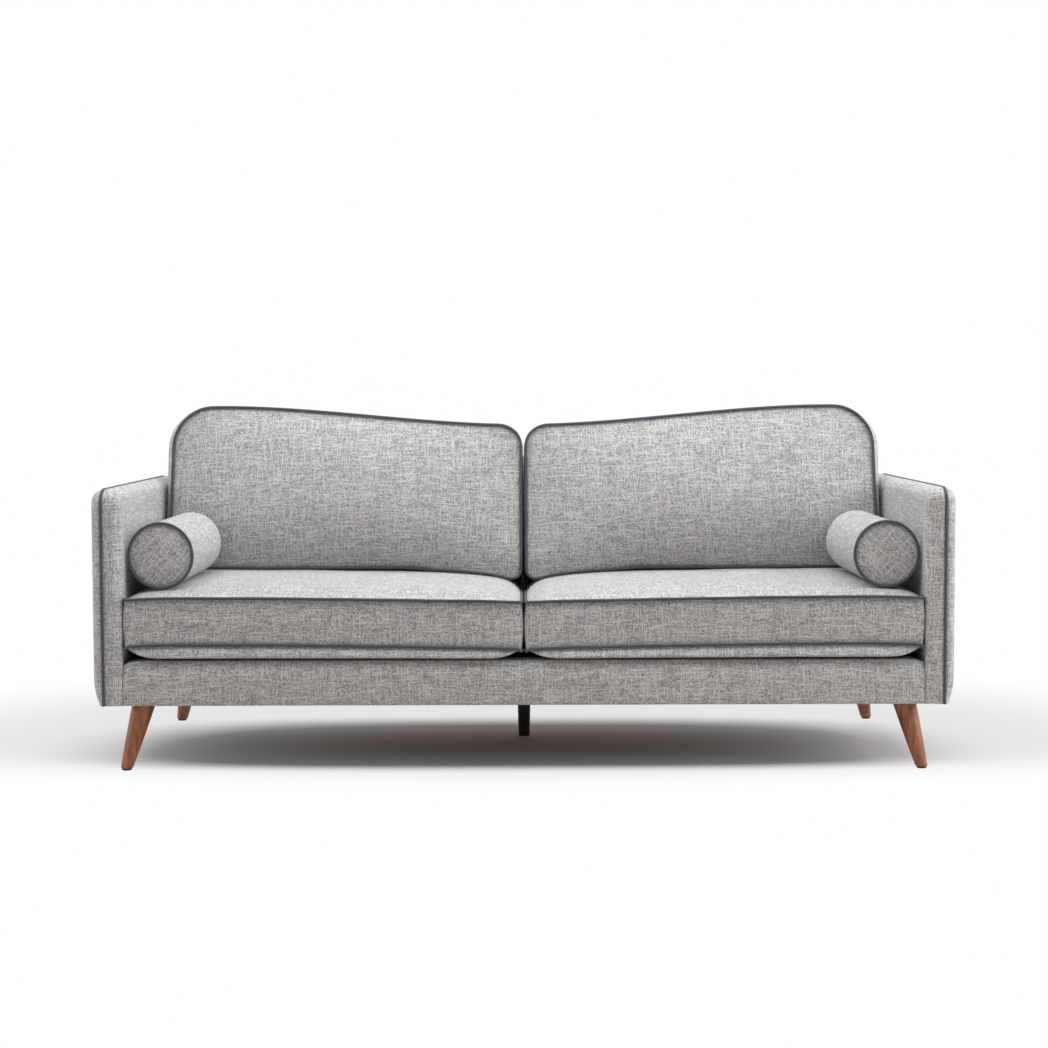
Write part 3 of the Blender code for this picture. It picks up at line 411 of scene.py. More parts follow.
def tweed():
    """Over-and-under yarns of mixed greys, with pale slubs and dark stretches along warp and weft, and
    painted shade in the gaps between yarns.
    """
    material, start, sockets = finish("grey_tweed", 0.92)
    u, v, _ = start.node("UVMap", {"uv_map": WEAVE}).axes()
    wander = start.noise(start.point(u, v), 16.0, 1.0) - 0.5
    warp_line = (u + wander * YARN_WANDER) / YARN
    weft_line = (v + wander * YARN_WANDER) / YARN
    column = warp_line.maths("FLOOR")
    row = weft_line.maths("FLOOR")
    over = ((column + row) * 0.5).maths("FRACT").maths("GREATER_THAN", 0.25)
    warp_side = warp_line.maths("FRACT") * 2.0 - 1.0
    weft_side = weft_line.maths("FRACT") * 2.0 - 1.0
    warp_round = 1.0 - warp_side * warp_side
    weft_round = 1.0 - weft_side * weft_side

    knot = start.point(column, row)
    crossing = start.node("TexWhiteNoise", {"noise_dimensions": "2D"}, {"Vector": knot})
    fleck = crossing * 0.85 + over * 0.15

    def along_yarns(scale, low, high, shift):
        """Stretches of single yarns, more along the weft than the warp, as a share from 0 to 1."""
        warp_part = start.noise(start.point(column * 7.31 + shift, v * scale), 1.0, 0.0).between(low, high)
        weft_part = start.noise(start.point(u * scale, row * 5.77 + shift), 1.0, 0.0).between(low, high)
        return (warp_part * 0.9).maths("MAXIMUM", weft_part)

    slub = along_yarns(21.0, 0.585, 0.645, 11.0)
    dark = along_yarns(25.0, 0.58, 0.645, 73.0)
    yarn = fleck.mixed(YARN_DARK, YARN_LIGHT)
    flecked = (dark * DARK_SHARE).mixed(yarn, DARK_STRETCH)
    light = (slub * SLUB_SHARE).mixed(flecked, PALE_SLUB)
    # Painted shade: the cloth is darkened in the gaps between the yarns.
    gap = 1.0 - warp_round.maths("MAXIMUM", weft_round).between(0.0, 0.35)
    start.feed(sockets["Base Color"], (gap * PAINTED_GAP_SHADE_SHARE).mixed(light, PAINTED_GAP_SHADE))
    start.feed(sockets["Roughness"], 0.98 - 0.14 * slub)
    sockets["Sheen Weight"].default_value = 0.26
    sockets["Sheen Roughness"].default_value = 0.5
    sockets["Sheen Tint"].default_value = SHEEN_TINT
    sockets["Specular IOR Level"].default_value = 0.25
    warp_dome = over * warp_round * (0.55 + 0.45 * weft_round)
    dome = warp_dome + (1.0 - over) * weft_round * (0.55 + 0.45 * warp_round)
    raised(start, sockets, dome * 0.75 + slub * 0.25, 0.0009, 0.55)
    return material


grey_tweed = tweed()


# Front border
# A padded strip over the front rail, pulled over an edge roll at the top and stapled under the rail.
# Its ends are drawn down a little where they are sewn to the arms.
ARC_STEPS = 6
SEWN_SHARP = math.radians(50.0)


def rounded(corners, steps=ARC_STEPS):
    """Points of a closed outline through corners (u, v, radius), with arcs at the round ones."""
    points = []
    places = [Vector(corner[:2]) for corner in corners]
    for index, (corner, (_, _, radius)) in enumerate(zip(places, corners)):
        if radius <= 0.0:
            points.append(corner)
            continue
        back = (places[index - 1] - corner).normalized()
        ahead = (places[(index + 1) % len(places)] - corner).normalized()
        half = back.angle(ahead) / 2
        centre = corner + (back + ahead).normalized() * (radius / math.sin(half))
        start = corner + back * (radius / math.tan(half)) - centre
        end = corner + ahead * (radius / math.tan(half)) - centre
        first = math.atan2(start.y, start.x)
        swing = (math.atan2(end.y, end.x) - first + math.pi) % math.tau - math.pi
        turns = [first + swing * step / steps for step in range(steps + 1)]
        points += [centre + Vector((math.cos(turn), math.sin(turn))) * radius for turn in turns]
    return [(point.x, point.y) for point in points]


def mapped_mesh(name, points, faces, patches):
    """A smooth mesh with its weave map, one map place for each corner of each face."""
    mesh = bpy.data.meshes.new(name)
    mesh.from_pydata([tuple(point) for point in points], [], faces)
    layer = mesh.uv_layers.new(name=WEAVE)
    layer.data.foreach_set("uv", np.asarray(patches, dtype=np.float32).ravel())
    mesh.shade_smooth()
    mesh.set_sharp_from_angle(angle=SEWN_SHARP)
    return mesh


def swept(name, stations, outline):
    """A mesh whose closed side view (y, z), which may change along x, runs through stations."""
    rings = [np.array(outline(x)) for x in stations]
    points = [(x, y, z) for x, ring in zip(stations, rings) for y, z in ring]
    closed = np.vstack([rings[len(rings) // 2], rings[len(rings) // 2][:1]])
    round_length = np.concatenate([[0.0], np.cumsum(np.hypot(*np.diff(closed, axis=0).T))])
    numbers = np.arange(len(points)).reshape(len(rings), -1).tolist()
    patches = [*rings[0][::-1], *rings[-1]]
    for near, far in zip(stations, stations[1:]):
        for low, high in zip(round_length, round_length[1:]):
            patches += [(near, low), (near, high), (far, high), (far, low)]
    return mapped_mesh(name, points, [numbers[0][::-1], numbers[-1], *ring_faces(numbers)], patches)


def end_spaced(low, high, count, crowd):
    """Stations from low to high that crowd towards both ends."""
    shares = np.linspace(-1.0, 1.0, count)
    shares = np.sign(shares) * (1.0 - (1.0 - np.abs(shares)) ** crowd)
    return low + (high - low) * (shares + 1.0) / 2


BORDER_PAD = 0.025
BORDER_FOOT_RADIUS = 0.006
BORDER_TOP_RADIUS = 0.006
BORDER_REAR_RADIUS = 0.004
BORDER_LIP = 0.0022
BORDER_LEAN = (0.010, 0.030, 0.040)
BORDER_WAVE = (0.0007, 6.0, 0.3)
BORDER_STATIONS = (120, 1.5)
BORDER_END_DRAW = 0.004
BORDER_END_DROP = 0.012
BORDER_END_REACH = 0.038
EDGE_ROLL_RISE = 0.0045
border_low, border_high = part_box("front_border")
rail_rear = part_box("front_rail")[1].y
roll_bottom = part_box("seat_spring_right_1")[0].z + EDGE_ROLL_RISE


def soft_end(x, half, reach):
    """How much of an end's rounding is reached at x: 0 along the length, 1 at either end."""
    share = min(max((abs(x) - half + reach) / reach, 0.0), 1.0)
    return 1.0 - math.sqrt(1.0 - share * share)


def border_outline(x):
    """Side view of the border: pad, edge roll and the turned-under lip."""
    end = soft_end(x, border_high.x, BORDER_END_REACH)
    wave = BORDER_WAVE[0] * noise.noise((x * BORDER_WAVE[1], BORDER_WAVE[2], 0.0))
    top = border_high.z - BORDER_END_DROP * end
    front = border_low.y + BORDER_END_DRAW * end + wave
    inner = border_low.y + BORDER_PAD
    lip_top = border_low.z + BORDER_LIP
    corners = [
        (front, border_low.z, BORDER_FOOT_RADIUS),
        (rail_rear, border_low.z, 0.0),
        (rail_rear, lip_top, 0.0),
        (inner, lip_top, 0.0),
        (inner, roll_bottom, 0.0),
        (border_high.y, roll_bottom, 0.0),
        (border_high.y, top, BORDER_REAR_RADIUS),
        (front + BORDER_LEAN[0], top, BORDER_TOP_RADIUS),
        (front, top - BORDER_LEAN[1], BORDER_LEAN[2]),
    ]
    return rounded(corners)


border_stations = end_spaced(border_low.x, border_high.x, *BORDER_STATIONS)
border_mesh = swept("padded_border", border_stations, border_outline)
border = add("padded_border", border_mesh, grey_tweed, "frame", "tweed", "front_border")


# Deck and dust cover
# The deck is a quilted black pad tied over the springs, which the seat cushions lie on.
# The dust cover is thin black spun-bonded cloth, stapled under the rails.
LINING_DARK = shade(14, 14, 15)
LINING_LIGHT = shade(46, 45, 46)
DOT_STEP = 0.004
DECK_EDGE = 0.008
DECK_FOOT_RADIUS = 0.003
DECK_STATIONS = (80, 1.4)
DUST_STATIONS = 60


def black_lining():
    """Spun-bonded cloth: a felt of black fibres, with a faint pressed grid of dots."""
    material, start, sockets = finish("black_lining", 0.9)
    place = start.place()
    x, y, _ = place.axes()
    fibre = start.noise(place, 900.0, 4.0)
    dots = (x * (math.tau / DOT_STEP)).maths("SINE") * (y * (math.tau / DOT_STEP)).maths("SINE")
    dimple = dots.between(0.3, 0.9)
    tone = fibre * 0.8 + dimple * 0.2
    start.feed(sockets["Base Color"], tone.mixed(LINING_DARK, LINING_LIGHT))
    raised(start, sockets, fibre * 0.5 + (1.0 - dimple) * 0.5, 0.0004, 0.6)
    return material


lining = black_lining()
deck_low, deck_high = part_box("seat_deck")


def deck_outline(x):
    """Side view of the deck pad, with soft edges."""
    end = soft_end(x, deck_high.x, DECK_EDGE)
    top = deck_high.z - DECK_EDGE * end
    corners = [(deck_low.y, deck_low.z, DECK_FOOT_RADIUS), (deck_high.y, deck_low.z, DECK_FOOT_RADIUS),
               (deck_high.y, top, DECK_EDGE), (deck_low.y, top, DECK_EDGE)]
    return rounded(corners)


deck_mesh = swept("deck_pad", end_spaced(deck_low.x, deck_high.x, *DECK_STATIONS), deck_outline)
deck = add("deck_pad", deck_mesh, lining, "frame", "lining", "seat_deck")


def put(tree, kind, links, **settings):
    """Adds a geometry node: its links or values, then its settings."""
    made = tree.nodes.new(kind)
    for title, value in settings.items():
        setattr(made, title, value)
    for socket, value in links.items():
        if isinstance(value, bpy.types.NodeSocket):
            tree.links.new(value, made.inputs[socket])
        else:
            made.inputs[socket].default_value = value
    return made.outputs


def geometry_tree(name, inputs):
    """A geometry node tree that takes a line and named inputs: the tree and its inputs' identifiers."""
    tree = bpy.data.node_groups.new(name, "GeometryNodeTree")
    tree.interface.new_socket("Line", in_out="INPUT", socket_type="NodeSocketGeometry")
    marks = {}
    for title, kind in inputs.items():
        socket = tree.interface.new_socket(title, in_out="INPUT", socket_type="NodeSocket" + kind)
        marks[title] = socket.identifier
    tree.interface.new_socket("Made", in_out="OUTPUT", socket_type="NodeSocketGeometry")
    return tree, marks


def drawn_along(name, path, edges, tree, values):
    """The plain mesh that a geometry node tree makes along a drawn line."""
    line = bpy.data.meshes.new(name)
    line.from_pydata([tuple(place) for place in path], edges, [])
    drawn = bpy.data.objects.new(name + "_line", line)
    bpy.context.scene.collection.objects.link(drawn)
    maker = drawn.modifiers.new("maker", "NODES")
    maker.node_group = tree
    for mark, value in values.items():
        maker[mark] = value
    bpy.context.view_layer.update()
    graph = bpy.context.evaluated_depsgraph_get()
    mesh = bpy.data.meshes.new_from_object(drawn.evaluated_get(graph))
    bpy.data.objects.remove(drawn, do_unlink=True)
    return mesh


def staple_nodes():
    """A node tree that drives a staple at even steps along each drawn line."""
    tree, marks = geometry_tree("staple_row", {"Step": "Float", "Crown": "Vector", "Steel": "Material"})
    given = put(tree, "NodeGroupInput", {})
    line = put(tree, "GeometryNodeMeshToCurve", {"Mesh": given["Line"]})["Curve"]
    steps = {"Curve": line, "Length": given["Step"]}
    line = put(tree, "GeometryNodeResampleCurve", steps, mode="LENGTH")["Curve"]
    crown = put(tree, "GeometryNodeMeshCube", {"Size": given["Crown"]})["Mesh"]
    way = put(tree, "GeometryNodeInputTangent", {})["Tangent"]
    facing = put(tree, "FunctionNodeAlignRotationToVector", {"Vector": way}, axis="X", pivot_axis="Z")
    driven = {"Points": line, "Instance": crown, "Rotation": facing["Rotation"]}
    row = put(tree, "GeometryNodeInstanceOnPoints", driven)["Instances"]
    row = put(tree, "GeometryNodeRealizeInstances", {"Geometry": row})["Geometry"]
    row = put(tree, "GeometryNodeSetMaterial", {"Geometry": row, "Material": given["Steel"]})["Geometry"]
    put(tree, "NodeGroupOutput", {"Made": row})
    return tree, marks


dust_low, dust_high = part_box("dust_cover")


def dust_outline(_):
    """Side view of the dust cover: a flat sheet with turned edges."""
    return rounded([(dust_low.y, dust_low.z, 0.0), (dust_high.y, dust_low.z, 0.0),
                    (dust_high.y, dust_high.z, 0.0), (dust_low.y, dust_high.z, 0.0)])


dust_mesh = swept("dust_cloth", np.linspace(dust_low.x, dust_high.x, DUST_STATIONS), dust_outline)
dust = add("dust_cloth", dust_mesh, lining, "frame", "lining", "dust_cover")

STAPLE_STEP = 0.045
STAPLE_CROWN = (0.0105, 0.0012, 0.0008)
STAPLE_INSET = 0.008
STAPLE_END_GAP = (0.13, 0.11)
row_x = dust_high.x - STAPLE_INSET
row_y = (dust_low.y + STAPLE_INSET, dust_high.y - STAPLE_INSET)
stop_x = dust_high.x - STAPLE_END_GAP[0]
stop_y = (dust_low.y + STAPLE_END_GAP[1], dust_high.y - STAPLE_END_GAP[1])
row_ends = [(-stop_x, row_y[0]), (stop_x, row_y[0]), (-stop_x, row_y[1]), (stop_x, row_y[1]),
            (-row_x, stop_y[0]), (-row_x, stop_y[1]), (row_x, stop_y[0]), (row_x, stop_y[1])]
staple_tree, staple_inputs = staple_nodes()
staple_values = {staple_inputs["Step"]: STAPLE_STEP, staple_inputs["Crown"]: STAPLE_CROWN,
                 staple_inputs["Steel"]: spring_steel}
staple_mesh = drawn_along("dust_cover_staples", [(x, y, dust_low.z - FITTING_GAP) for x, y in row_ends],
                          [(0, 1), (2, 3), (4, 5), (6, 7)], staple_tree, staple_values)
add("dust_cover_staples", staple_mesh, spring_steel, "frame", "spring_steel")


# Inside back and outside back
# The inside back is a padded cover over the webbing, turned over the top rail and down behind it.
# The outside back is a plain panel, tacked under that lip and stapled under the rear rail.
RECLINE = math.radians(8.0)
OUTSIDE_THICKNESS = 0.010
CAP_THICKNESS = 0.0145
LIP_DROP = 0.050
PAD_DEPTH = 0.0265
PAD_FOOT_RADIUS = 0.004
CAP_RADIUS = 0.014
LIP_RADIUS = 0.002
FOLD_DROP = 0.004
INSIDE_END = (0.012, 0.006)
OUTSIDE_END = (0.006, 0.002)
OUTSIDE_RADII = (0.005, 0.002)
REAR_STATIONS = (90, 1.4)
POST_DEPTH = 0.045
STRAP_THICKNESS = 0.0015
PAD_REAR = OUTSIDE_THICKNESS + POST_DEPTH + STRAP_THICKNESS + 3 * FITTING_GAP
PAD_FRONT = PAD_REAR + PAD_DEPTH
inside_low, inside_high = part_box("inside_back")
outside_low, outside_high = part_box("outside_back")


def rear_face(height):
    """Where the reclined rear of the back stands at a height."""
    return outside_high.y - (outside_high.z - height) * math.tan(RECLINE)


def leaning(offset, height, radius=0.0):
    """A corner that lies a distance in front of the rear face."""
    return (rear_face(height) - offset, height, radius)


def inside_outline(x):
    """Side view of the inside back: its pad, the turn over the top rail and the lip behind.

    Past the ends of the rail the cover is folded shut, like a parcel.
    """
    end = soft_end(x, inside_high.x, INSIDE_END[0])
    top = inside_high.z - INSIDE_END[1] * end
    lip = inside_high.z - LIP_DROP
    under_cap = inside_high.z - CAP_THICKNESS
    folded = OUTSIDE_THICKNESS + FITTING_GAP
    hollow = [leaning(PAD_REAR, inside_low.z), leaning(PAD_REAR, under_cap),
              leaning(OUTSIDE_THICKNESS, under_cap)]
    shut = [leaning(folded, inside_low.z), leaning(folded, (inside_low.z + lip) / 2),
            leaning(folded, lip - FOLD_DROP)]
    corners = [
        leaning(PAD_FRONT, inside_low.z, PAD_FOOT_RADIUS),
        *(shut if abs(x) > fold else hollow),
        leaning(OUTSIDE_THICKNESS, lip),
        leaning(0.0, lip, LIP_RADIUS),
        leaning(0.0, top, CAP_RADIUS),
        leaning(PAD_FRONT, top, CAP_RADIUS),
    ]
    return rounded(corners)


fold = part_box("back_top_rail")[1].x + 2 * FITTING_GAP
fold_sides = [sign * (fold + shift) for sign in (-1, 1) for shift in (-FITTING_GAP, FITTING_GAP)]
inside_stations = end_spaced(inside_low.x, inside_high.x, *REAR_STATIONS)
inside_stations = np.sort(np.append(inside_stations, fold_sides))
inside_mesh = swept("padded_inside_back", inside_stations, inside_outline)
inside = add("padded_inside_back", inside_mesh, grey_tweed, "frame", "tweed", "inside_back")


def outside_outline(x):
    """Side view of the outside back: a thin panel with a soft lower edge."""
    draw = OUTSIDE_END[1] * soft_end(x, outside_high.x, OUTSIDE_END[0])
    corners = [
        leaning(OUTSIDE_THICKNESS, outside_low.z),
        leaning(draw, outside_low.z, OUTSIDE_RADII[0]),
        leaning(draw, outside_high.z, OUTSIDE_RADII[1]),
        leaning(OUTSIDE_THICKNESS, outside_high.z),
    ]
    return rounded(corners)


outside_stations = end_spaced(outside_low.x, outside_high.x, *REAR_STATIONS)
outside_mesh = swept("outside_back_panel", outside_stations, outside_outline)
outside = add("outside_back_panel", outside_mesh, grey_tweed, "frame", "tweed", "outside_back")


# Arms
# A padded cover over each plywood panel. A strip runs up the front, over the top and down the rear, turns
# softly into the inner side, and is sewn to the padded outer panel with a piping cord in that seam.
LEAST_CORNER = 0.001


class Panel:
    """A cut panel with round corners, spread with a grid of points that bends round the corners.

    Corners are radii at low-low, high-low, high-high and low-high. Inset draws in the sides that are
    marked in drawn: low p, high p, low q and high q.
    """

    def __init__(self, low, high, corners, cells, band, drawn=(1, 1, 1, 1)):
        self.low = low
        self.high = high
        self.corners = corners
        self.cells = cells
        self.band = band
        self.drawn = drawn

    def zones(self, index, count):
        """Shares of the low and high corner bands, and of the stretch between them."""
        low = np.clip(1.0 - index / self.band, 0.0, 1.0)
        high = np.clip(1.0 - (count - index) / self.band, 0.0, 1.0)
        return low, high, np.clip((index - self.band) / (count - 2 * self.band), 0.0, 1.0)

    def at(self, i, j, inset=0.0):
        """Places (p, q) of grid points, drawn in by an inset."""
        columns, rows = self.cells
        low_p = self.low[0] + inset * self.drawn[0]
        high_p = self.high[0] - inset * self.drawn[1]
        low_q = self.low[1] + inset * self.drawn[2]
        high_q = self.high[1] - inset * self.drawn[3]
        radii = [np.maximum(radius - inset, LEAST_CORNER) for radius in self.corners]
        a = i / columns
        b = j / rows
        left = radii[0] + (radii[3] - radii[0]) * b
        right = radii[1] + (radii[2] - radii[1]) * b
        foot = radii[0] + (radii[1] - radii[0]) * a
        head = radii[3] + (radii[2] - radii[3]) * a
        p_low, p_high, p_middle = self.zones(i, columns)
        q_low, q_high, q_middle = self.zones(j, rows)
        out_p = p_low + p_high
        out_q = q_low + q_high
        bent_p = out_p * np.sqrt(1.0 - out_q * out_q / 2)
        bent_q = out_q * np.sqrt(1.0 - out_p * out_p / 2)
        p = low_p + left + (high_p - right - low_p - left) * p_middle
        p = np.where(p_low > 0.0, low_p + left * (1.0 - bent_p), p)
        p = np.where(p_high > 0.0, high_p - right * (1.0 - bent_p), p)
        q = low_q + foot + (high_q - head - low_q - foot) * q_middle
        q = np.where(q_low > 0.0, low_q + foot * (1.0 - bent_q), q)
        q = np.where(q_high > 0.0, high_q - head * (1.0 - bent_q), q)
        return p, q

    def rim(self):
        """Grid indices round the edge, from the low corner along the foot."""
        columns, rows = self.cells
        i = [*range(columns), *[columns] * rows, *range(columns, 0, -1), *[0] * rows]
        j = [*[0] * columns, *range(rows), *[rows] * columns, *range(rows, 0, -1)]
        return np.array(i), np.array(j)


def cloth_map(grid):
    """Where a grid of points lies on flat cloth, measured along the surface from the grid's middle."""
    spans = []
    for axis in (1, 0):
        steps = np.linalg.norm(np.diff(grid, axis=axis), axis=2)
        run = np.insert(np.cumsum(steps, axis=axis), 0, 0.0, axis=axis)
        spans.append(run - np.take(run, [run.shape[axis] // 2], axis=axis))
    return np.column_stack([span.ravel() for span in spans])


def upholstered(name, panel, layers, caps, place):
    """A closed cover: two panels and the strip between them.

    Layers run from the low panel's rim to the high panel's, each a height and an inset, which may be
    functions of (p, q). Caps add the two panels' own height. Place turns (p, q, height) into x, y, z.
    """
    columns, rows = panel.cells

    def laid(i, j, layer):
        base = panel.at(i, j)
        height, inset = [part(*base) if callable(part) else np.full(base[0].shape, part) for part in layer]
        return (*panel.at(i, j, inset), height)

    j_grid, i_grid = np.mgrid[0:rows + 1, 0:columns + 1]
    i_grid = i_grid.ravel()
    j_grid = j_grid.ravel()
    i_rim, j_rim = panel.rim()
    points = []
    flat = []
    for layer, cap in ((layers[0], caps[0]), (layers[-1], caps[1])):
        p, q, height = laid(i_grid, j_grid, layer)
        points.append(place(p, q, height + cap(p, q)))
        flat.append(cloth_map(points[-1].reshape(rows + 1, columns + 1, 3)))
    grid = (columns + 1) * (rows + 1)
    around = len(i_rim)
    rims = [j_rim * (columns + 1) + i_rim]
    strip = [place(*laid(i_rim, j_rim, layer)) for layer in layers]
    for index, ring in enumerate(strip[1:-1]):
        points.append(ring)
        rims.append(2 * grid + index * around + np.arange(around))
    rims.append(grid + rims[0])

    faces = []
    patches = []
    for shift, order, face_map in ((0, (0, 3, 2, 1), flat[0]), (grid, (0, 1, 2, 3), flat[1])):
        for j in range(rows):
            for i in range(columns):
                first = j * (columns + 1) + i
                corners = (first, first + 1, first + columns + 2, first + columns + 1)
                faces.append(tuple(shift + corners[turn] for turn in order))
                patches += [face_map[corners[turn]] for turn in order]
    middle_ring = strip[len(strip) // 2]
    along = np.concatenate([[0.0], np.cumsum(np.linalg.norm(
        np.diff(np.vstack([middle_ring, middle_ring[:1]]), axis=0), axis=1))])
    steps = [np.linalg.norm(upper - lower, axis=1) for lower, upper in zip(strip, strip[1:])]
    across = np.vstack([np.zeros(around), np.cumsum(steps, axis=0)])
    across -= across[len(strip) // 2]
    for low, high in zip(across, across[1:]):
        for step in range(around):
            after = (step + 1) % around
            near, far = along[step], along[step + 1]
            patches += [(near, low[step]), (far, low[after]), (far, high[after]), (near, high[step])]
    return mapped_mesh(name, np.vstack(points), faces + ring_faces(rims), patches), rims


OTHER_CLOTH = (1.413, 0.871)


def mirrored(mesh):
    """The left-hand copy of a right-hand mesh, cut from another stretch of the cloth."""
    copy = mesh.copy()
    copy.transform(Matrix.Scale(-1.0, 4, (1.0, 0.0, 0.0)))
    copy.flip_normals()
    weave = copy.uv_layers[WEAVE].data
    places = np.zeros(len(weave) * 2, dtype=np.float32)
    weave.foreach_get("uv", places)
    weave.foreach_set("uv", (places.reshape(-1, 2) + OTHER_CLOTH).ravel())
    return copy


WELT_RADIUS = 0.0035
WELT_SIDES = 14
WELT_THREAD = 0.0011
WELT_THREADS = 16.0
SLATE_DARK = shade(52, 52, 59)
SLATE_LIGHT = shade(94, 94, 104)


def cotton_piping():
    """Slate cotton cut on the bias over a cord: fine slanted threads and a little fading."""
    material, start, sockets = finish("slate_piping", 0.85)
    along = start.node("Attribute", {"attribute_name": "along"}, out=2)
    around = start.node("Attribute", {"attribute_name": "around"}, out=2)
    slant = ((along / WELT_THREAD + around * WELT_THREADS) * math.tau).maths("SINE")
    cross = ((along / WELT_THREAD - around * WELT_THREADS) * math.tau).maths("SINE")
    lay = (slant * cross).between(-0.7, 0.7)
    fading = start.noise(start.place(), 38.0, 3.0)
    lint = start.noise(start.place(), 700.0, 2.0)
    tone = lay * 0.45 + lint * 0.35 + fading * 0.2
    start.feed(sockets["Base Color"], tone.between(0.2, 0.8).mixed(SLATE_DARK, SLATE_LIGHT))
    start.feed(sockets["Roughness"], 0.78 + 0.15 * lint)
    sockets["Sheen Weight"].default_value = 0.1
    raised(start, sockets, lay, 0.0003, 0.6)
    return material


def cord_nodes():
    """A node tree that covers a drawn line with a round cord and measures it along and around."""
    tree, marks = geometry_tree("piping_cord", {"Radius": "Float", "Sides": "Int", "Cloth": "Material"})
    given = put(tree, "NodeGroupInput", {})
    line = put(tree, "GeometryNodeMeshToCurve", {"Mesh": given["Line"]})["Curve"]
    far = put(tree, "GeometryNodeSplineParameter", {})["Length"]
    measured = {"Geometry": line, "Name": "along", "Value": far}
    line = put(tree, "GeometryNodeStoreNamedAttribute", measured)["Geometry"]
    round_cord = {"Resolution": given["Sides"], "Radius": given["Radius"]}
    ring = put(tree, "GeometryNodeCurvePrimitiveCircle", round_cord)["Curve"]
    turn = put(tree, "GeometryNodeSplineParameter", {})["Factor"]
    measured = {"Geometry": ring, "Name": "around", "Value": turn}
    ring = put(tree, "GeometryNodeStoreNamedAttribute", measured)["Geometry"]
    covered = {"Curve": line, "Profile Curve": ring, "Fill Caps": True}
    tube = put(tree, "GeometryNodeCurveToMesh", covered)["Mesh"]
    tube = put(tree, "GeometryNodeSetShadeSmooth", {"Geometry": tube})["Geometry"]
    tube = put(tree, "GeometryNodeRealizeInstances", {"Geometry": tube})["Geometry"]
    tube = put(tree, "GeometryNodeSetMaterial", {"Geometry": tube, "Material": given["Cloth"]})["Geometry"]
    put(tree, "NodeGroupOutput", {"Made": tube})
    return tree, marks


slate_piping = cotton_piping()
cord_tree, cord_inputs = cord_nodes()


def piping(name, path, cyclic, body, *nodes):
    """A piping cord along points, as a plain mesh that rides on a body."""
    count = len(path)
    edges = [(step, step + 1) for step in range(count - 1)]
    if cyclic:
        edges.append((count - 1, 0))
    values = {cord_inputs["Radius"]: WELT_RADIUS, cord_inputs["Sides"]: WELT_SIDES,
              cord_inputs["Cloth"]: slate_piping}
    mesh = drawn_along(name, path, edges, cord_tree, values)
    return add(name, mesh, slate_piping, body, "piping", *nodes)


arm_low, arm_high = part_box("arm_cover_right")
ARM_FRONT_RADIUS = 0.035
ARM_REAR_RADIUS = 0.085
ARM_FOOT_RADIUS = 0.003
ARM_RISE = 0.008
ARM_OUTER_ROUND = 0.026
ARM_STRIP_PUFF = 0.0020
SEAM_DIP = 0.0035
TUCK = 0.014
TUCK_HEIGHT = 0.060
SOFT_EDGE_LOW = 0.008
SOFT_EDGE_HIGH = 0.026
SOFT_EDGE_REACH = 0.28
STRIP_GAP = 0.003
ARM_SETTLE = 0.006
ARM_CELLS = (72, 48)
ARM_BAND = 7
EDGE_SHARES = np.linspace(0.0, 1.0, 7)
STRIP_SHARES = (0.25, 0.5, 0.75, 1.0)
ROLL_SHARES = np.linspace(0.12, 1.0, 9)
arm_top = arm_high.z - ARM_RISE - ARM_SETTLE
arm_corners = (ARM_FOOT_RADIUS, ARM_FOOT_RADIUS, ARM_REAR_RADIUS, ARM_FRONT_RADIUS)
arm_panel = Panel((arm_low.y, arm_low.z), (arm_high.y, arm_top), arm_corners,
                  ARM_CELLS, ARM_BAND, drawn=(1, 1, 0, 1))
seam_x = arm_high.x - ARM_OUTER_ROUND


def smooth_step(value, low, high):
    """A smooth share of the way from low to high."""
    share = np.clip((value - low) / (high - low), 0.0, 1.0)
    return share * share * (3.0 - 2.0 * share)


def soft_edge(p, q):
    """Radius of the arm's inner edge: small beside the border, large along the top."""
    upwards = smooth_step(q, border_high.z, border_high.z + SOFT_EDGE_REACH)
    return SOFT_EDGE_LOW + (SOFT_EDGE_HIGH - SOFT_EDGE_LOW) * upwards


def arm_place(p, q, x):
    """Leans the rear edge, lifts the top to the rear and tucks the foot of the outer panel."""
    share = (p - arm_low.y) / (arm_high.y - arm_low.y)
    y = arm_low.y + (rear_face(q) - arm_low.y) * share
    z = q + ARM_RISE * share * (q - arm_low.z) / (arm_top - arm_low.z)
    tuck = np.clip((arm_low.z + TUCK_HEIGHT - q) / TUCK_HEIGHT, 0.0, 1.0) ** 2 * TUCK
    outward = np.clip((x - seam_x) / ARM_OUTER_ROUND, 0.0, 1.0)
    return np.column_stack([x - tuck * outward, y, z])


def turn_in(share):
    """One layer of the soft inner edge, from the inner side to the strip."""
    turn = share * math.pi / 2
    return (lambda p, q: arm_low.x + soft_edge(p, q) * (1.0 - math.cos(turn)),
            lambda p, q: soft_edge(p, q) * (1.0 - math.sin(turn)))


def strip_layer(share):
    """One layer of the strip between the soft edge and the seam."""
    def height(p, q):
        start = arm_low.x + soft_edge(p, q)
        return start + (seam_x - STRIP_GAP - start) * share

    return height, -ARM_STRIP_PUFF * math.sin(math.pi * share)


def roll_out(share):
    """One layer of the outer panel's roll, from the seam to the flat of the panel."""
    turn = share * math.pi / 2
    return (seam_x + ARM_OUTER_ROUND * math.sin(turn), ARM_OUTER_ROUND * (1.0 - math.cos(turn)))


arm_layers = [turn_in(share) for share in EDGE_SHARES]
arm_layers += [strip_layer(share) for share in STRIP_SHARES]
arm_layers += [(seam_x, SEAM_DIP)]
arm_layers += [roll_out(share) for share in ROLL_SHARES]


def no_crown(p, q):
    """A flat panel."""
    return np.zeros(p.shape)


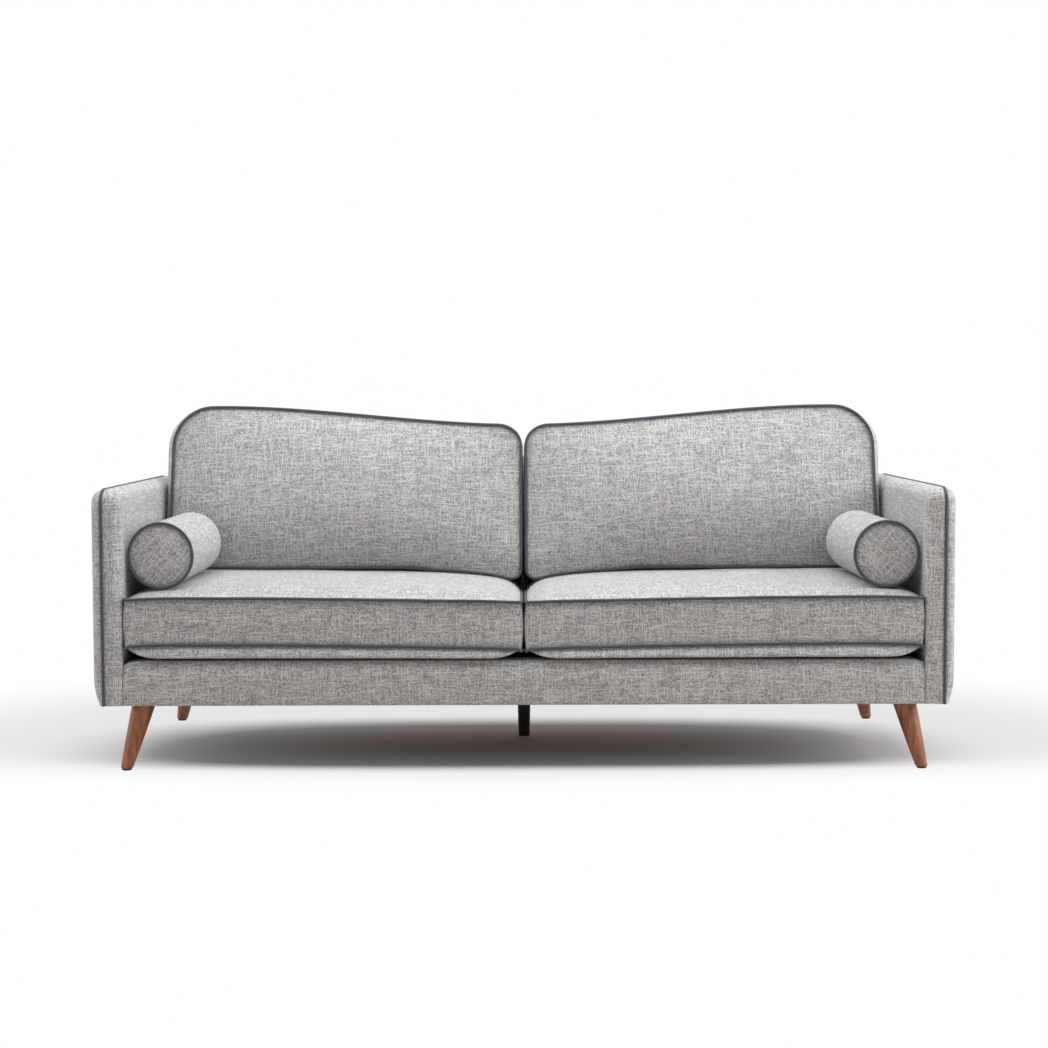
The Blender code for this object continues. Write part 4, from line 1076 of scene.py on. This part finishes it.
arm_mesh, _ = upholstered("arm", arm_panel, arm_layers, (no_crown, no_crown), arm_place)
rim_i, rim_j = arm_panel.rim()
upright = np.arange(ARM_CELLS[0], len(rim_i))
seam_p, seam_q = arm_panel.at(np.append(rim_i[upright], 0), np.append(rim_j[upright], 0))
arm_seam = arm_place(seam_p, seam_q, np.full(seam_p.shape, seam_x))
for side, sign in (("right", 1), ("left", -1)):
    cover = arm_mesh if sign > 0 else mirrored(arm_mesh)
    arm = add("padded_arm_" + side, cover, grey_tweed, "frame", "tweed", "arm_cover_" + side)
    piping("arm_piping_" + side, arm_seam * (sign, 1.0, 1.0), False, "frame", "arm_welt_" + side)


# Seat cushions
# Two loose box cushions: a foam core wrapped in fibre, in a cover of two panels and a boxing strip.
# Piping is sewn into both seams. The top is crowned, and the lower panel leans out below its seam.
BLOW_STEPS = 20
RELAX_ROUNDS = 3
SINK = 0.04
OVERHEAD = 1.0


def inflated(mesh, pinned, pressure, most):
    """Points of a cover after it is blown up on its stitched seams, none further than most."""
    blown = bpy.data.objects.new("blown_cover", mesh)
    bpy.context.scene.collection.objects.link(blown)
    seam = blown.vertex_groups.new(name="stitched")
    seam.add([int(index) for index in pinned], 1.0, "REPLACE")
    cloth = blown.modifiers.new("filling", "CLOTH")
    cloth.settings.quality = 4
    cloth.settings.mass = 0.4
    cloth.settings.vertex_group_mass = "stitched"
    cloth.settings.use_pressure = True
    cloth.settings.uniform_pressure_force = pressure
    cloth.settings.effector_weights.gravity = 0.0
    cloth.collision_settings.use_collision = False
    cloth.point_cache.frame_start = 1
    cloth.point_cache.frame_end = BLOW_STEPS
    for step in range(1, BLOW_STEPS + 1):
        bpy.context.scene.frame_set(step)
    graph = bpy.context.evaluated_depsgraph_get()
    start = points_of(mesh)
    moved = points_of(blown.evaluated_get(graph).data) - start
    bpy.data.objects.remove(blown, do_unlink=True)
    bpy.context.scene.frame_set(1)
    far = np.linalg.norm(moved, axis=1, keepdims=True)
    return start + moved * np.minimum(1.0, most / np.maximum(far, 1e-9))


def points_of(mesh):
    """The points of a mesh as rows of x, y, z."""
    places = np.zeros(len(mesh.vertices) * 3)
    mesh.vertices.foreach_get("co", places)
    return places.reshape(-1, 3)


def relaxed(mesh, places, held, rounds):
    """Evens out points towards the middle of their neighbours, with some held."""
    edges = np.zeros(len(mesh.edges) * 2, dtype=np.int64)
    mesh.edges.foreach_get("vertices", edges)
    first, second = edges.reshape(-1, 2).T
    count = np.bincount(np.concatenate([first, second]), minlength=len(places))[:, None]
    free = np.ones(len(places), dtype=bool)
    free[held] = False
    for _ in range(rounds):
        total = np.zeros_like(places)
        np.add.at(total, first, places[second])
        np.add.at(total, second, places[first])
        places = np.where(free[:, None], places * 0.5 + total / count * 0.5, places)
    return places


def softened(mesh, seams):
    """A finer copy of a cover that keeps its stitched seams in place."""
    soft = bpy.data.objects.new("soft_cover", mesh)
    bpy.context.scene.collection.objects.link(soft)
    stitched = set()
    for loop in seams:
        stitched |= {frozenset((int(a), int(b))) for a, b in zip(loop, np.roll(loop, -1))}
    crease = mesh.attributes.new("crease_edge", "FLOAT", "EDGE")
    values = [1.0 if frozenset(edge.vertices) in stitched else 0.0 for edge in mesh.edges]
    crease.data.foreach_set("value", values)
    finer = soft.modifiers.new("finer", "SUBSURF")
    finer.levels = 1
    finer.render_levels = 1
    bpy.context.view_layer.update()
    graph = bpy.context.evaluated_depsgraph_get()
    fine = bpy.data.meshes.new_from_object(soft.evaluated_get(graph))
    bpy.data.objects.remove(soft, do_unlink=True)
    fine.shade_smooth()
    return fine


def set_points(mesh, places):
    """Moves a mesh's points to rows of x, y, z."""
    mesh.vertices.foreach_set("co", np.asarray(places, dtype=np.float32).ravel())
    mesh.update()


def fill_out(mesh, rims, pressure, most, held=0):
    """Blows a cover up on its two seams and evens it out, with the first few points held."""
    seams = np.concatenate([rims[0], rims[-1]])
    blown = inflated(mesh, seams, pressure, most)
    set_points(mesh, relaxed(mesh, blown, np.append(np.arange(held), seams), RELAX_ROUNDS))


def resting(places, support, clearance):
    """Lifts points that lie just under the top of a support mesh until they clear it."""
    tree = BVHTree.FromPolygons([vertex.co for vertex in support.vertices],
                                [face.vertices for face in support.polygons])
    for place in places:
        hit = tree.ray_cast(Vector((place[0], place[1], OVERHEAD)), Vector((0.0, 0.0, -1.0)))[0]
        if hit and hit.z - SINK < place[2] < hit.z + clearance:
            place[2] = hit.z + clearance
    return places


WELT_STAND_OFF = 0.0044
WELT_SIDE = WELT_STAND_OFF * math.sqrt(0.5)
WELT_REACH = WELT_RADIUS + WELT_SIDE
CLEAR = 0.0012
REST_GAP = 0.0006


def sewn_pairs(kind, mesh, seams, laid):
    """Lays a cord off each named seam of both hands of a cushion, and gives each side's finer cover."""
    for side, sign in (("right", 1), ("left", -1)):
        hand = (sign, 1.0, 1.0)
        cover = mesh.copy() if sign > 0 else mirrored(mesh)
        for edge, loop in seams.items():
            normals = np.array([cover.vertices[int(index)].normal for index in loop])
            path = points_of(cover)[loop] + normals * WELT_STAND_OFF
            piping(f"{kind}_piping_{edge}_{side}", laid(path * hand) * hand, True,
                   f"{kind}_{side}", f"{kind}_welt_{edge}_{side}")
        yield side, softened(cover, seams.values())


SEAT_CORNER = 0.010
SEAT_SIDE_DRAW = 0.002
SEAT_SWELL = 0.0015
SEAT_END_SWELL = 0.0026
SEAT_END_SHARE = 0.985
SEAT_CROWN = 0.0245
SEAT_SHOULDER = (0.30, 0.12, 0.16)
SEAT_FULLNESS = (0.60, 0.45, 0.6)
SEAT_FOOT_ROUND = (0.070, 0.015)
SEAT_FOOT_FULLNESS = (0.8, 0.5)
SEAT_FOOT_ROLL = 0.022
SEAT_FOOT_TURN = (0.78, 0.80)
SEAT_FOOT_EASE = (0.20, 0.015, 0.060)
SEAT_RISE = (0.0045, 0.0025)
SEAT_TILT = 0.0125
SEAT_TILT_CURVE = 1.8
SEAT_END_DROOP = 0.005
SEAT_END_STRETCH = 0.4
SEAT_INNER_DIP = (0.012, 0.015)
SEAT_DIP_REACH = 0.034
SEAT_DIP_START = 0.14
SEAT_SLACK = (0.0022, 0.0016)
SEAT_WAVES = ((9.0, 0.4), (8.0, 1.9))
SEAT_CELLS = (88, 66)
SEAT_BAND = 4
SEAT_LAYERS = 11
SEAT_PRESSURE = 4.0
SEAT_MOST = 0.0015
top_low, top_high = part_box("seat_welt_top_right")
foot_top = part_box("seat_welt_bottom_right")[1].z
seat_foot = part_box("seat_cushion_right")[0].z
seat_inner = WELT_RADIUS + CLEAR
seat_outer = arm_low.x - WELT_RADIUS - CLEAR
SEAT_MIDDLE = ((seat_inner + seat_outer) / 2, (top_low.y + top_high.y) / 2)
SEAT_HALF = ((seat_outer - seat_inner) / 2, (top_high.y - top_low.y) / 2 - WELT_REACH)
seat_top_seam = top_high.z - WELT_RADIUS - WELT_SIDE + SEAT_RISE[1]
seat_foot_seam = foot_top - WELT_RADIUS + WELT_SIDE + SEAT_RISE[0]
seat_panel = Panel((SEAT_MIDDLE[0] - SEAT_HALF[0], SEAT_MIDDLE[1] - SEAT_HALF[1]),
                   (SEAT_MIDDLE[0] + SEAT_HALF[0], SEAT_MIDDLE[1] + SEAT_HALF[1]),
                   (SEAT_CORNER,) * 4, SEAT_CELLS, SEAT_BAND)


def shoulder(distance, reach, fullness):
    """Share of a crown's height at a distance from its seam, rounded over a reach."""
    share = np.clip(distance / reach, 0.0, 1.0)
    return (1.0 - (1.0 - share) ** 2) ** fullness


def seat_shares(p, q):
    """How far a place lies from the middle of the seat, -1 to 1 each way."""
    return (p - SEAT_MIDDLE[0]) / SEAT_HALF[0], (q - SEAT_MIDDLE[1]) / SEAT_HALF[1]


def seat_edges(p, q):
    """How far a place lies from the nearest end seam and from the nearest front or rear seam."""
    s, t = seat_shares(p, q)
    return [np.maximum(1.0 - np.abs(share), 0.0) * half for share, half in zip((s, t), SEAT_HALF)]


def seat_droop(p, q):
    """How far the seams hang below their highest stretch: most at the inner end."""
    s, _ = seat_shares(p, q)
    inner = SEAT_TILT * np.clip((1.0 - s) / 2, 0.0, 1.0) ** SEAT_TILT_CURVE
    end = np.clip((s - 1.0 + SEAT_END_STRETCH) / SEAT_END_STRETCH, 0.0, 1.0)
    return inner + SEAT_END_DROOP * end ** 2


def seat_inner_dip(p, q):
    """How far the upper seam sinks between the two seats, where their crowns close over it."""
    _, t = seat_shares(p, q)
    depth = (t + 1.0) / 2
    near = np.clip(1.0 - (p - seat_inner) / SEAT_DIP_REACH, 0.0, 1.0) ** 2
    return near * (SEAT_INNER_DIP[0] * smooth_step(depth, 0.0, SEAT_DIP_START) + SEAT_INNER_DIP[1] * depth)


def seat_top_crown(p, q):
    """The crown of the upper panel."""
    _, along = seat_edges(p, q)
    edges = zip((p - seat_inner, seat_outer - p, along), SEAT_SHOULDER, SEAT_FULLNESS)
    inner, outer, ends = [shoulder(*edge) for edge in edges]
    return SEAT_CROWN * inner * outer * ends


def seat_foot_crown(p, q):
    """The swell of the lower panel below its seam, flat where it lies on the deck."""
    edges = seat_edges(p, q)
    depth = seat_foot_seam - seat_droop(p, q) - seat_foot
    depth *= 1.0 - SEAT_FOOT_EASE[0] * (1.0 - smooth_step(edges[1], *SEAT_FOOT_EASE[1:]))
    across, along = [shoulder(*edge) for edge in zip(edges, SEAT_FOOT_ROUND, SEAT_FOOT_FULLNESS)]
    return -depth * across * along


def uneven(p, q, waves, layer):
    """Gentle unevenness of a filled cover, about -1 to 1, with so many waves in a metre."""
    return np.array([noise.noise((waves * a, waves * b, layer)) for a, b in zip(p, q)])


def seat_place(p, q, height):
    """Draws the sides in between the corners, rolls the lower panel out and lets the seams hang."""
    s, t = seat_shares(p, q)
    droop = seat_droop(p, q)
    below = np.clip((seat_foot_seam - height) / (seat_foot_seam - droop - seat_foot), 0.0, 1.0)
    above = np.clip((height - seat_foot_seam) / (seat_top_seam - seat_foot_seam), 0.0, 1.0)
    x = p - np.sign(s) * SEAT_SIDE_DRAW * np.abs(s) * (1.0 - t * t)
    y = q - np.sign(t) * SEAT_SIDE_DRAW * np.abs(t) * (1.0 - s * s)
    turn = np.minimum(below / SEAT_FOOT_TURN[0], 1.0) * (1.0 - smooth_step(below, SEAT_FOOT_TURN[1], 1.0))
    y += np.sign(t) * SEAT_FOOT_ROLL * turn
    y += SEAT_SLACK[0] * uneven(p, q, *SEAT_WAVES[0])
    slack = SEAT_SLACK[1] * uneven(p, q, *SEAT_WAVES[1]) * (1.0 - below)
    z = height - droop - above * seat_inner_dip(p, q) + slack
    return np.column_stack([x, y, z])


def seat_layer(share):
    """One layer of the boxing, which swells between its seams, most at the ends."""
    def inset(p, q):
        s, _ = seat_shares(p, q)
        swell = SEAT_SWELL + SEAT_END_SWELL * smooth_step(np.abs(s), SEAT_END_SHARE, 1.0)
        return -swell * math.sin(math.pi * share)

    return seat_foot_seam + (seat_top_seam - seat_foot_seam) * share, inset


seat_layers = [seat_layer(share) for share in np.linspace(0.0, 1.0, SEAT_LAYERS)]
seat_crowns = (seat_foot_crown, seat_top_crown)
seat_mesh, seat_rims = upholstered("seat_cover", seat_panel, seat_layers, seat_crowns, seat_place)
lower_points = (SEAT_CELLS[0] + 1) * (SEAT_CELLS[1] + 1)
fill_out(seat_mesh, seat_rims, SEAT_PRESSURE, SEAT_MOST, lower_points)
settled = points_of(seat_mesh)
settled[:, 0] = np.clip(settled[:, 0], CLEAR, arm_low.x - CLEAR)
settled[:, 2] = np.maximum(settled[:, 2], seat_foot)
set_points(seat_mesh, settled)


def between_arms(path):
    """Keeps a cord of the right seat between the middle and the arm."""
    path[:, 0] = np.clip(path[:, 0], seat_inner, seat_outer)
    return path


seat_seams = {"bottom": seat_rims[0], "top": seat_rims[-1]}
for side, fine in sewn_pairs("seat", seat_mesh, seat_seams, between_arms):
    seat = add("filled_seat_cushion_" + side, fine, grey_tweed, "seat_" + side, "tweed",
               "seat_cushion_" + side)


# Back cushions
# Two loose fibre-filled cushions, boxed and piped like the seats, that lean on the inside back.
# Their top edge falls in a long curve towards the middle, and their outer corner is the rounder one.
BACK_OUTER_CORNER = 0.102
BACK_INNER_CORNER = 0.055
BACK_FOOT_CORNER = 0.022
BACK_SIDE_GAP = 0.011
BACK_DROP = 0.0485
BACK_SLOPE_END = 0.86
BACK_BOXING = 0.170
BACK_SWELL = 0.010
BACK_OUTER_SWELL = 0.018
BACK_OUTER_STRETCH = 0.12
BACK_FORWARD_BULGE = 0.5
BACK_FOOT_SWELL = (0.15, 0.08)
BACK_CROWN = 0.047
BACK_REAR_CROWN = 0.038
BACK_ROUNDNESS = (4, 2.1)
BACK_BELLY = -0.25
BACK_SAG = (0.029, 0.008)
BACK_SAG_START = (0.3, -0.2)
BACK_TAPER = 0.009
BACK_TAPER_START = 0.5
BACK_TUCK = 0.010
BACK_TUCK_HEIGHT = 0.060
BACK_SLACK = 0.0045
BACK_WAVES = (6.0, 2.6)
BACK_CELLS = (84, 42)
BACK_BAND = 8
BACK_LAYERS = 15
BACK_PRESSURE = 4.0
BACK_MOST = 0.004
FREE_ABOVE = (0.1, 0.02)
front_low, front_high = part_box("back_welt_front_right")
UP_THE_BACK = Vector((0.0, math.sin(RECLINE), math.cos(RECLINE)))
OUT_OF_BACK = Vector((0.0, -math.cos(RECLINE), math.sin(RECLINE)))
back_foot = front_low.z + WELT_REACH
BACK_TALL = (front_high.z - front_low.z - 2 * WELT_REACH) / math.cos(RECLINE)
back_front = front_low.y + WELT_RADIUS
BACK_INNER = front_low.x + WELT_REACH
BACK_OUTER = front_high.x - WELT_REACH - BACK_SIDE_GAP
back_corners = (BACK_FOOT_CORNER, BACK_FOOT_CORNER, BACK_OUTER_CORNER, BACK_INNER_CORNER)
back_panel = Panel((BACK_INNER, 0.0), (BACK_OUTER, BACK_TALL), back_corners, BACK_CELLS, BACK_BAND)


def back_shares(p, q):
    """How far a place lies from the middle of the back cushion, -1 to 1 each way."""
    return 2.0 * (p - BACK_INNER) / (BACK_OUTER - BACK_INNER) - 1.0, 2.0 * q / BACK_TALL - 1.0


def back_crown(p, q):
    """The crown of the front panel: a belly that hangs below the middle, fuller along its length."""
    s, t = back_shares(p, q)
    away = np.clip(np.where(t > BACK_BELLY, (t - BACK_BELLY) / (1.0 - BACK_BELLY),
                            (BACK_BELLY - t) / (1.0 + BACK_BELLY)), 0.0, 1.0)
    crown = (1.0 - np.abs(s) ** BACK_ROUNDNESS[0]) * (1.0 - away ** BACK_ROUNDNESS[1])
    return crown * (BACK_CROWN + BACK_SLACK * uneven(p, q, *BACK_WAVES))


def back_rear_crown(p, q):
    """The crown of the rear panel, flat where it leans."""
    s, t = back_shares(p, q)
    return -BACK_REAR_CROWN * (1.0 - s ** BACK_ROUNDNESS[0]) * (1.0 - t ** BACK_ROUNDNESS[0])


def back_place(p, q, height):
    """Lets the top fall and the foot sag inwards, tucks the foot under and leans the cushion back."""
    s, t = back_shares(p, q)
    climb = np.clip((s + 1.0) / 2 / BACK_SLOPE_END, 0.0, 1.0)
    top = BACK_TALL - BACK_DROP * (1.0 - climb * climb * (3.0 - 2.0 * climb))
    inner = BACK_SAG[0] * smooth_step(-s, BACK_SAG_START[0], 1.0)
    outer = BACK_SAG[1] * smooth_step(s, BACK_SAG_START[0], 1.0)
    up = q * top / BACK_TALL - (inner + outer) * smooth_step(-t, BACK_SAG_START[1], 1.0)
    fore = np.clip(1.0 + height / BACK_BOXING, 0.0, 1.0)
    tuck = BACK_TUCK * fore * (1.0 - smooth_step(q, 0.0, BACK_TUCK_HEIGHT))
    y = back_front + up * UP_THE_BACK.y + height * OUT_OF_BACK.y + tuck
    z = back_foot + up * UP_THE_BACK.z + height * OUT_OF_BACK.z
    x = p - BACK_TAPER * smooth_step(s, BACK_TAPER_START, 1.0) * (t + 1.0) / 2
    return np.column_stack([x, y, z])


def back_layer(share):
    """One layer of the boxing, which swells on every side but the foot it rests on."""
    def inset(p, q):
        outer = smooth_step(p, BACK_OUTER - BACK_OUTER_STRETCH, BACK_OUTER)
        swell = BACK_SWELL + BACK_OUTER_SWELL * outer
        bulge = np.sin(np.pi * share ** (1.0 + BACK_FORWARD_BULGE * outer))
        least, reach = BACK_FOOT_SWELL
        return -swell * bulge * (least + (1.0 - least) * smooth_step(q, 0.0, reach))

    return -BACK_BOXING * (1.0 - share), inset


back_layers = [back_layer(share) for share in np.linspace(0.0, 1.0, BACK_LAYERS)]
back_crowns = (back_rear_crown, back_crown)
back_mesh, back_rims = upholstered("back_cover", back_panel, back_layers, back_crowns, back_place)


def before_back(points):
    """Keeps points of a back cushion just in front of the inside back, as high as that reaches."""
    free = FREE_ABOVE[0] * smooth_step(points[:, 2], inside_high.z, inside_high.z + FREE_ABOVE[1])
    nearest = rear_face(points[:, 2]) - PAD_FRONT - CLEAR + free
    points[:, 1] = np.minimum(points[:, 1], nearest)
    return points


fill_out(back_mesh, back_rims, BACK_PRESSURE, BACK_MOST)
leant = points_of(back_mesh)
leant[:, 0] = np.clip(leant[:, 0], CLEAR, arm_low.x - CLEAR)
set_points(back_mesh, before_back(resting(leant, seat_mesh, REST_GAP)))


def over_seat(gap):
    """A rule that lifts a cord until it clears the seat by a gap."""
    return lambda path: resting(path, seat_mesh, WELT_RADIUS + gap)


back_seams = {"rear": back_rims[0], "front": back_rims[-1]}
for side, fine in sewn_pairs("back", back_mesh, back_seams, over_seat(CLEAR)):
    back = add("filled_back_cushion_" + side, fine, grey_tweed, "back_" + side, "tweed",
               "back_cushion_" + side)


# Bolsters
# Two firm round bolsters of rolled fibre in a sewn tube, with a flat disc at each end.
# The discs are cut on the bias, so their weave lies at a slant, and piping runs round their seams.
BOLSTER_AROUND = 88
BOLSTER_RINGS = 44
BOLSTER_CROWD = 1.35
BOLSTER_DISC_RINGS = 9
BOLSTER_DOME = 0.007
BOLSTER_RIM_DRAW = 0.003
BOLSTER_SWELL = 0.0045
BOLSTER_LIFT = 0.008
BOLSTER_REAR_SHIFT = (-0.004, 0.005)
REAR_DRAW = 0.0155
REAR_SHOULDER = 0.075
BOLSTER_SQUEEZE = 0.98
BOLSTER_CORD_GAP = 0.0004
BIAS = math.radians(45.0)


def bolster_mesh(low, high):
    """A tube along y with a domed disc at each end, and the two rims where they are sewn.

    The rear rim is drawn in under a round shoulder, where the bolster is pushed at the back cushion.
    """
    centre = (low + high) / 2 + Vector((0.0, 0.0, BOLSTER_LIFT))
    radius = (high.z - low.z) / 2 - BOLSTER_RIM_DRAW
    rear_radius = radius + BOLSTER_SWELL - REAR_DRAW
    half = (high.y - low.y) / 2 - BOLSTER_DOME
    turns = math.tau * np.arange(BOLSTER_AROUND) / BOLSTER_AROUND
    cos, sin = np.cos(turns), np.sin(turns)
    rows = []
    for ring in range(1, BOLSTER_DISC_RINGS):
        share = ring / BOLSTER_DISC_RINGS
        rows.append((radius * share, -half - BOLSTER_DOME * (1.0 - share ** 3), True))
    for t in end_spaced(-1.0, 1.0, BOLSTER_RINGS + 1, BOLSTER_CROWD):
        behind = max((t - 1.0 + REAR_SHOULDER) / REAR_SHOULDER, 0.0)
        drawn = REAR_DRAW * (1.0 - math.sqrt(1.0 - behind * behind))
        rows.append((radius + BOLSTER_SWELL * (1.0 - min(t, 0.0) ** 4) - drawn, half * t, False))
    for ring in range(BOLSTER_DISC_RINGS - 1, 0, -1):
        share = ring / BOLSTER_DISC_RINGS
        rows.append((rear_radius * share, half + BOLSTER_DOME * (1.0 - share ** 3), True))

    def axis_at(along):
        share = (along / half + 1.0) / 2
        return centre.x + BOLSTER_REAR_SHIFT[0] * share, centre.z + BOLSTER_REAR_SHIFT[1] * share

    points = []
    for reach, along, _ in rows:
        x, z = axis_at(along)
        squeezed = reach * BOLSTER_SQUEEZE
        points += [(x + squeezed * c, centre.y + along, z + reach * s) for c, s in zip(cos, sin)]
    for along in (-half - BOLSTER_DOME, half + BOLSTER_DOME):
        x, z = axis_at(along)
        points.append((x, centre.y + along, z))
    poles = (len(points) - 2, len(points) - 1)

    def disc_map(index):
        x, _, z = points[index]
        u, v = x - centre.x, z - centre.z
        return (u * math.cos(BIAS) - v * math.sin(BIAS), u * math.sin(BIAS) + v * math.cos(BIAS))

    faces = []
    patches = []
    for row, (lower, upper) in enumerate(zip(rows, rows[1:])):
        for step in range(BOLSTER_AROUND):
            after = (step + 1) % BOLSTER_AROUND
            face = (row * BOLSTER_AROUND + step, (row + 1) * BOLSTER_AROUND + step,
                    (row + 1) * BOLSTER_AROUND + after, row * BOLSTER_AROUND + after)
            faces.append(face)
            if lower[2] or upper[2]:
                patches += [disc_map(index) for index in face]
            else:
                near, far = turns[step] * radius, (turns[step] + math.tau / BOLSTER_AROUND) * radius
                patches += [(near, lower[1]), (near, upper[1]), (far, upper[1]), (far, lower[1])]
    last = (len(rows) - 1) * BOLSTER_AROUND
    for step in range(BOLSTER_AROUND):
        after = (step + 1) % BOLSTER_AROUND
        for face in ((poles[0], step, after), (poles[1], last + after, last + step)):
            faces.append(face)
            patches += [disc_map(index) for index in face]
    mesh = mapped_mesh("bolster", points, faces, patches)
    first_rim = (BOLSTER_DISC_RINGS - 1) * BOLSTER_AROUND + np.arange(BOLSTER_AROUND)
    return mesh, (first_rim, first_rim + BOLSTER_RINGS * BOLSTER_AROUND)


bolster_cover, bolster_rims = bolster_mesh(*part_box("bolster_right"))
set_points(bolster_cover, resting(points_of(bolster_cover), seat_mesh, REST_GAP))
bolster_seams = {"front": bolster_rims[0], "rear": bolster_rims[1]}
for side, fine in sewn_pairs("bolster", bolster_cover, bolster_seams, over_seat(BOLSTER_CORD_GAP)):
    bolster = add("filled_bolster_" + side, fine, grey_tweed, "bolster_" + side, "tweed",
                  "bolster_" + side)


# Studio
# A plain white floor that takes the sofa's shadow and fades into a white background,
# under one broad soft light from above and weaker ones from each side and behind.
FLOOR_SIZE = 14.0
SIDE_REACH = 1.16
FRONT_EDGE = (-0.39, -3.52)
REAR_EDGE = (0.305, 1.856)
FLOOR_FADE = (0.66, 1.10)
SHADOW_CORE = 2.0
# Painted shadow: a faint glow lifts the floor's shadow, least at its middle, and tints it warm there.
SHADOW_LIFT = (0.032, 0.15, 0.2)
SHADOW_TINT = (0.90, 0.72, 0.67, 1.0)
FLOOR_SHADES = (shade(196, 192, 190), shade(202, 198, 196))
# Painted shadow tint: the floor's colour is warmed under the sofa.
UNDER_SOFA_PAINTED_SHADOW_TINT = shade(205, 182, 176)
# Painted shade: the grey that the floor shows to the camera near the sofa.
FLOOR_NEAR_PAINTED_SHADE = shade(230, 230, 229)
TINT_REACH = (0.5, 0.28)
EDGE_SQUARENESS = 3.0
SURROUND_REACH = (1.9, 1.3, -0.52)
SURROUND_FADE = (0.6, 1.15)
PURE_WHITE = (1.0, 1.0, 1.0, 1.0)


def white_floor():
    """A matt white floor near the sofa, plain white to the camera further out, with painted shade: a warm
    painted shadow tint under the sofa and a grey glow round it.
    """
    material, start, sockets = finish("white_floor", 0.9)
    x, y, _ = start.place().axes()
    cloud = start.noise(start.place(), 3.0, 2.0)
    across = x.maths("ABSOLUTE") / SIDE_REACH
    deep = y * SHADOW_CORE
    core = across * across + deep * deep
    plain = cloud.mixed(*FLOOR_SHADES)
    # Painted shadow tint: the floor's own colour is warmed under the sofa, where its shadow falls.
    start.feed(sockets["Base Color"], core.between(0.0, TINT_REACH[0]).mixed(UNDER_SOFA_PAINTED_SHADOW_TINT, plain))
    sockets["Specular IOR Level"].default_value = 0.1
    # Painted shadow edge: the glow's outline is drawn round the sofa, so it also sets where the shadow
    # fades out.
    along = (y * REAR_EDGE[1] + REAR_EDGE[0]).maths("MAXIMUM", y * FRONT_EDGE[1] + FRONT_EDGE[0])
    span = across.maths("POWER", EDGE_SQUARENESS) + along.maths("POWER", EDGE_SQUARENESS)
    far = span.maths("POWER", 1 / EDGE_SQUARENESS).between(*FLOOR_FADE)
    # Painted shadow: a faint glow that lifts the shadow, least under the middle of the sofa and
    # warm-tinted there.
    lift = (SHADOW_LIFT[0] + SHADOW_LIFT[1] * core).maths("MINIMUM", SHADOW_LIFT[2])
    # Painted shade: near the sofa the floor glows grey to the camera, fading to white further out.
    wide = x / SURROUND_REACH[0]
    out = (y / SURROUND_REACH[1]).maths("MAXIMUM", y / SURROUND_REACH[2])
    ring = (wide * wide + out * out).maths("SQRT").between(*SURROUND_FADE)
    grey = ring.mixed(FLOOR_NEAR_PAINTED_SHADE, PURE_WHITE)
    tint = core.between(0.0, TINT_REACH[1]).mixed(SHADOW_TINT, grey)
    glow = start.node("Emission", None, {"Color": tint, "Strength": 1.0})
    shader = material.node_tree.nodes["Principled BSDF"].outputs[0]
    plain_share = start.seen() * far.maths("MAXIMUM", lift)
    surface = start.node("MixShader", None, {0: plain_share, 1: Link(start.tree, shader), 2: glow})
    start.feed(material.node_tree.nodes["Material Output"].inputs["Surface"], surface)
    return material


floor_mesh = bpy.data.meshes.new("floor")
floor_turns = ((-1, -1), (1, -1), (1, 1), (-1, 1))
floor_corners = [(a * FLOOR_SIZE / 2, b * FLOOR_SIZE / 2, 0.0) for a, b in floor_turns]
floor_mesh.from_pydata(floor_corners, [], [(0, 1, 2, 3)])
floor_mesh.materials.append(white_floor())
floor = bpy.data.objects.new("floor", floor_mesh)
bpy.context.scene.collection.objects.link(floor)

WORLD_LIGHT = 0.15
world = bpy.data.worlds.new("studio")
bpy.context.scene.world = world
world.use_nodes = True
sky = Link(world.node_tree)
sky_light = WORLD_LIGHT + (1.0 - WORLD_LIGHT) * sky.seen()
sky.feed(world.node_tree.nodes["Background"].inputs["Strength"], sky_light)
world.node_tree.nodes["Background"].inputs["Color"].default_value = PURE_WHITE


def soft_light(name, size, power, place, aim):
    """A rectangular soft box that points at a place."""
    lamp = bpy.data.lights.new(name, "AREA")
    lamp.shape = "RECTANGLE"
    lamp.size, lamp.size_y = size
    lamp.energy = power
    box = bpy.data.objects.new(name, lamp)
    box.location = place
    box.rotation_euler = (Vector(aim) - Vector(place)).to_track_quat("-Z", "Y").to_euler()
    bpy.context.scene.collection.objects.link(box)


soft_light("overhead", (4.2, 3.0), 115.0, (0.0, -0.55, 3.0), (0.0, -0.1, 0.4))
soft_light("side_left", (2.4, 2.0), 34.0, (-3.4, -0.5, 1.8), (0.0, -0.1, 0.5))
soft_light("side_right", (2.4, 2.0), 84.0, (3.4, -0.5, 1.8), (0.0, -0.1, 0.5))
soft_light("rear", (3.4, 1.6), 42.0, (0.0, 3.4, 2.0), (0.0, 0.2, 0.4))

CAMERA_PLACE = (0.0, -4.615, 0.830)
CAMERA_PITCH = math.radians(3.42)
CAMERA_ROLL = 0.0029
CAMERA_LENS_PIXELS = 1829.0
CAMERA_SHIFT = (0.8, -0.3)
FRAME_PIXELS = 1048.0
SENSOR = 36.0
view = bpy.data.cameras.new("camera")
view.sensor_width = SENSOR
view.lens = CAMERA_LENS_PIXELS / FRAME_PIXELS * SENSOR
view.shift_x = CAMERA_SHIFT[0] / FRAME_PIXELS
view.shift_y = CAMERA_SHIFT[1] / FRAME_PIXELS
camera = bpy.data.objects.new("camera", view)
camera.location = CAMERA_PLACE
camera.rotation_euler = (math.pi / 2 - CAMERA_PITCH, CAMERA_ROLL, 0.0)
bpy.context.scene.collection.objects.link(camera)
bpy.context.scene.camera = camera
bpy.context.scene.view_settings.view_transform = "Standard"


# Last update
# Brings every piece's place and shape up to date.
bpy.context.view_layer.update()
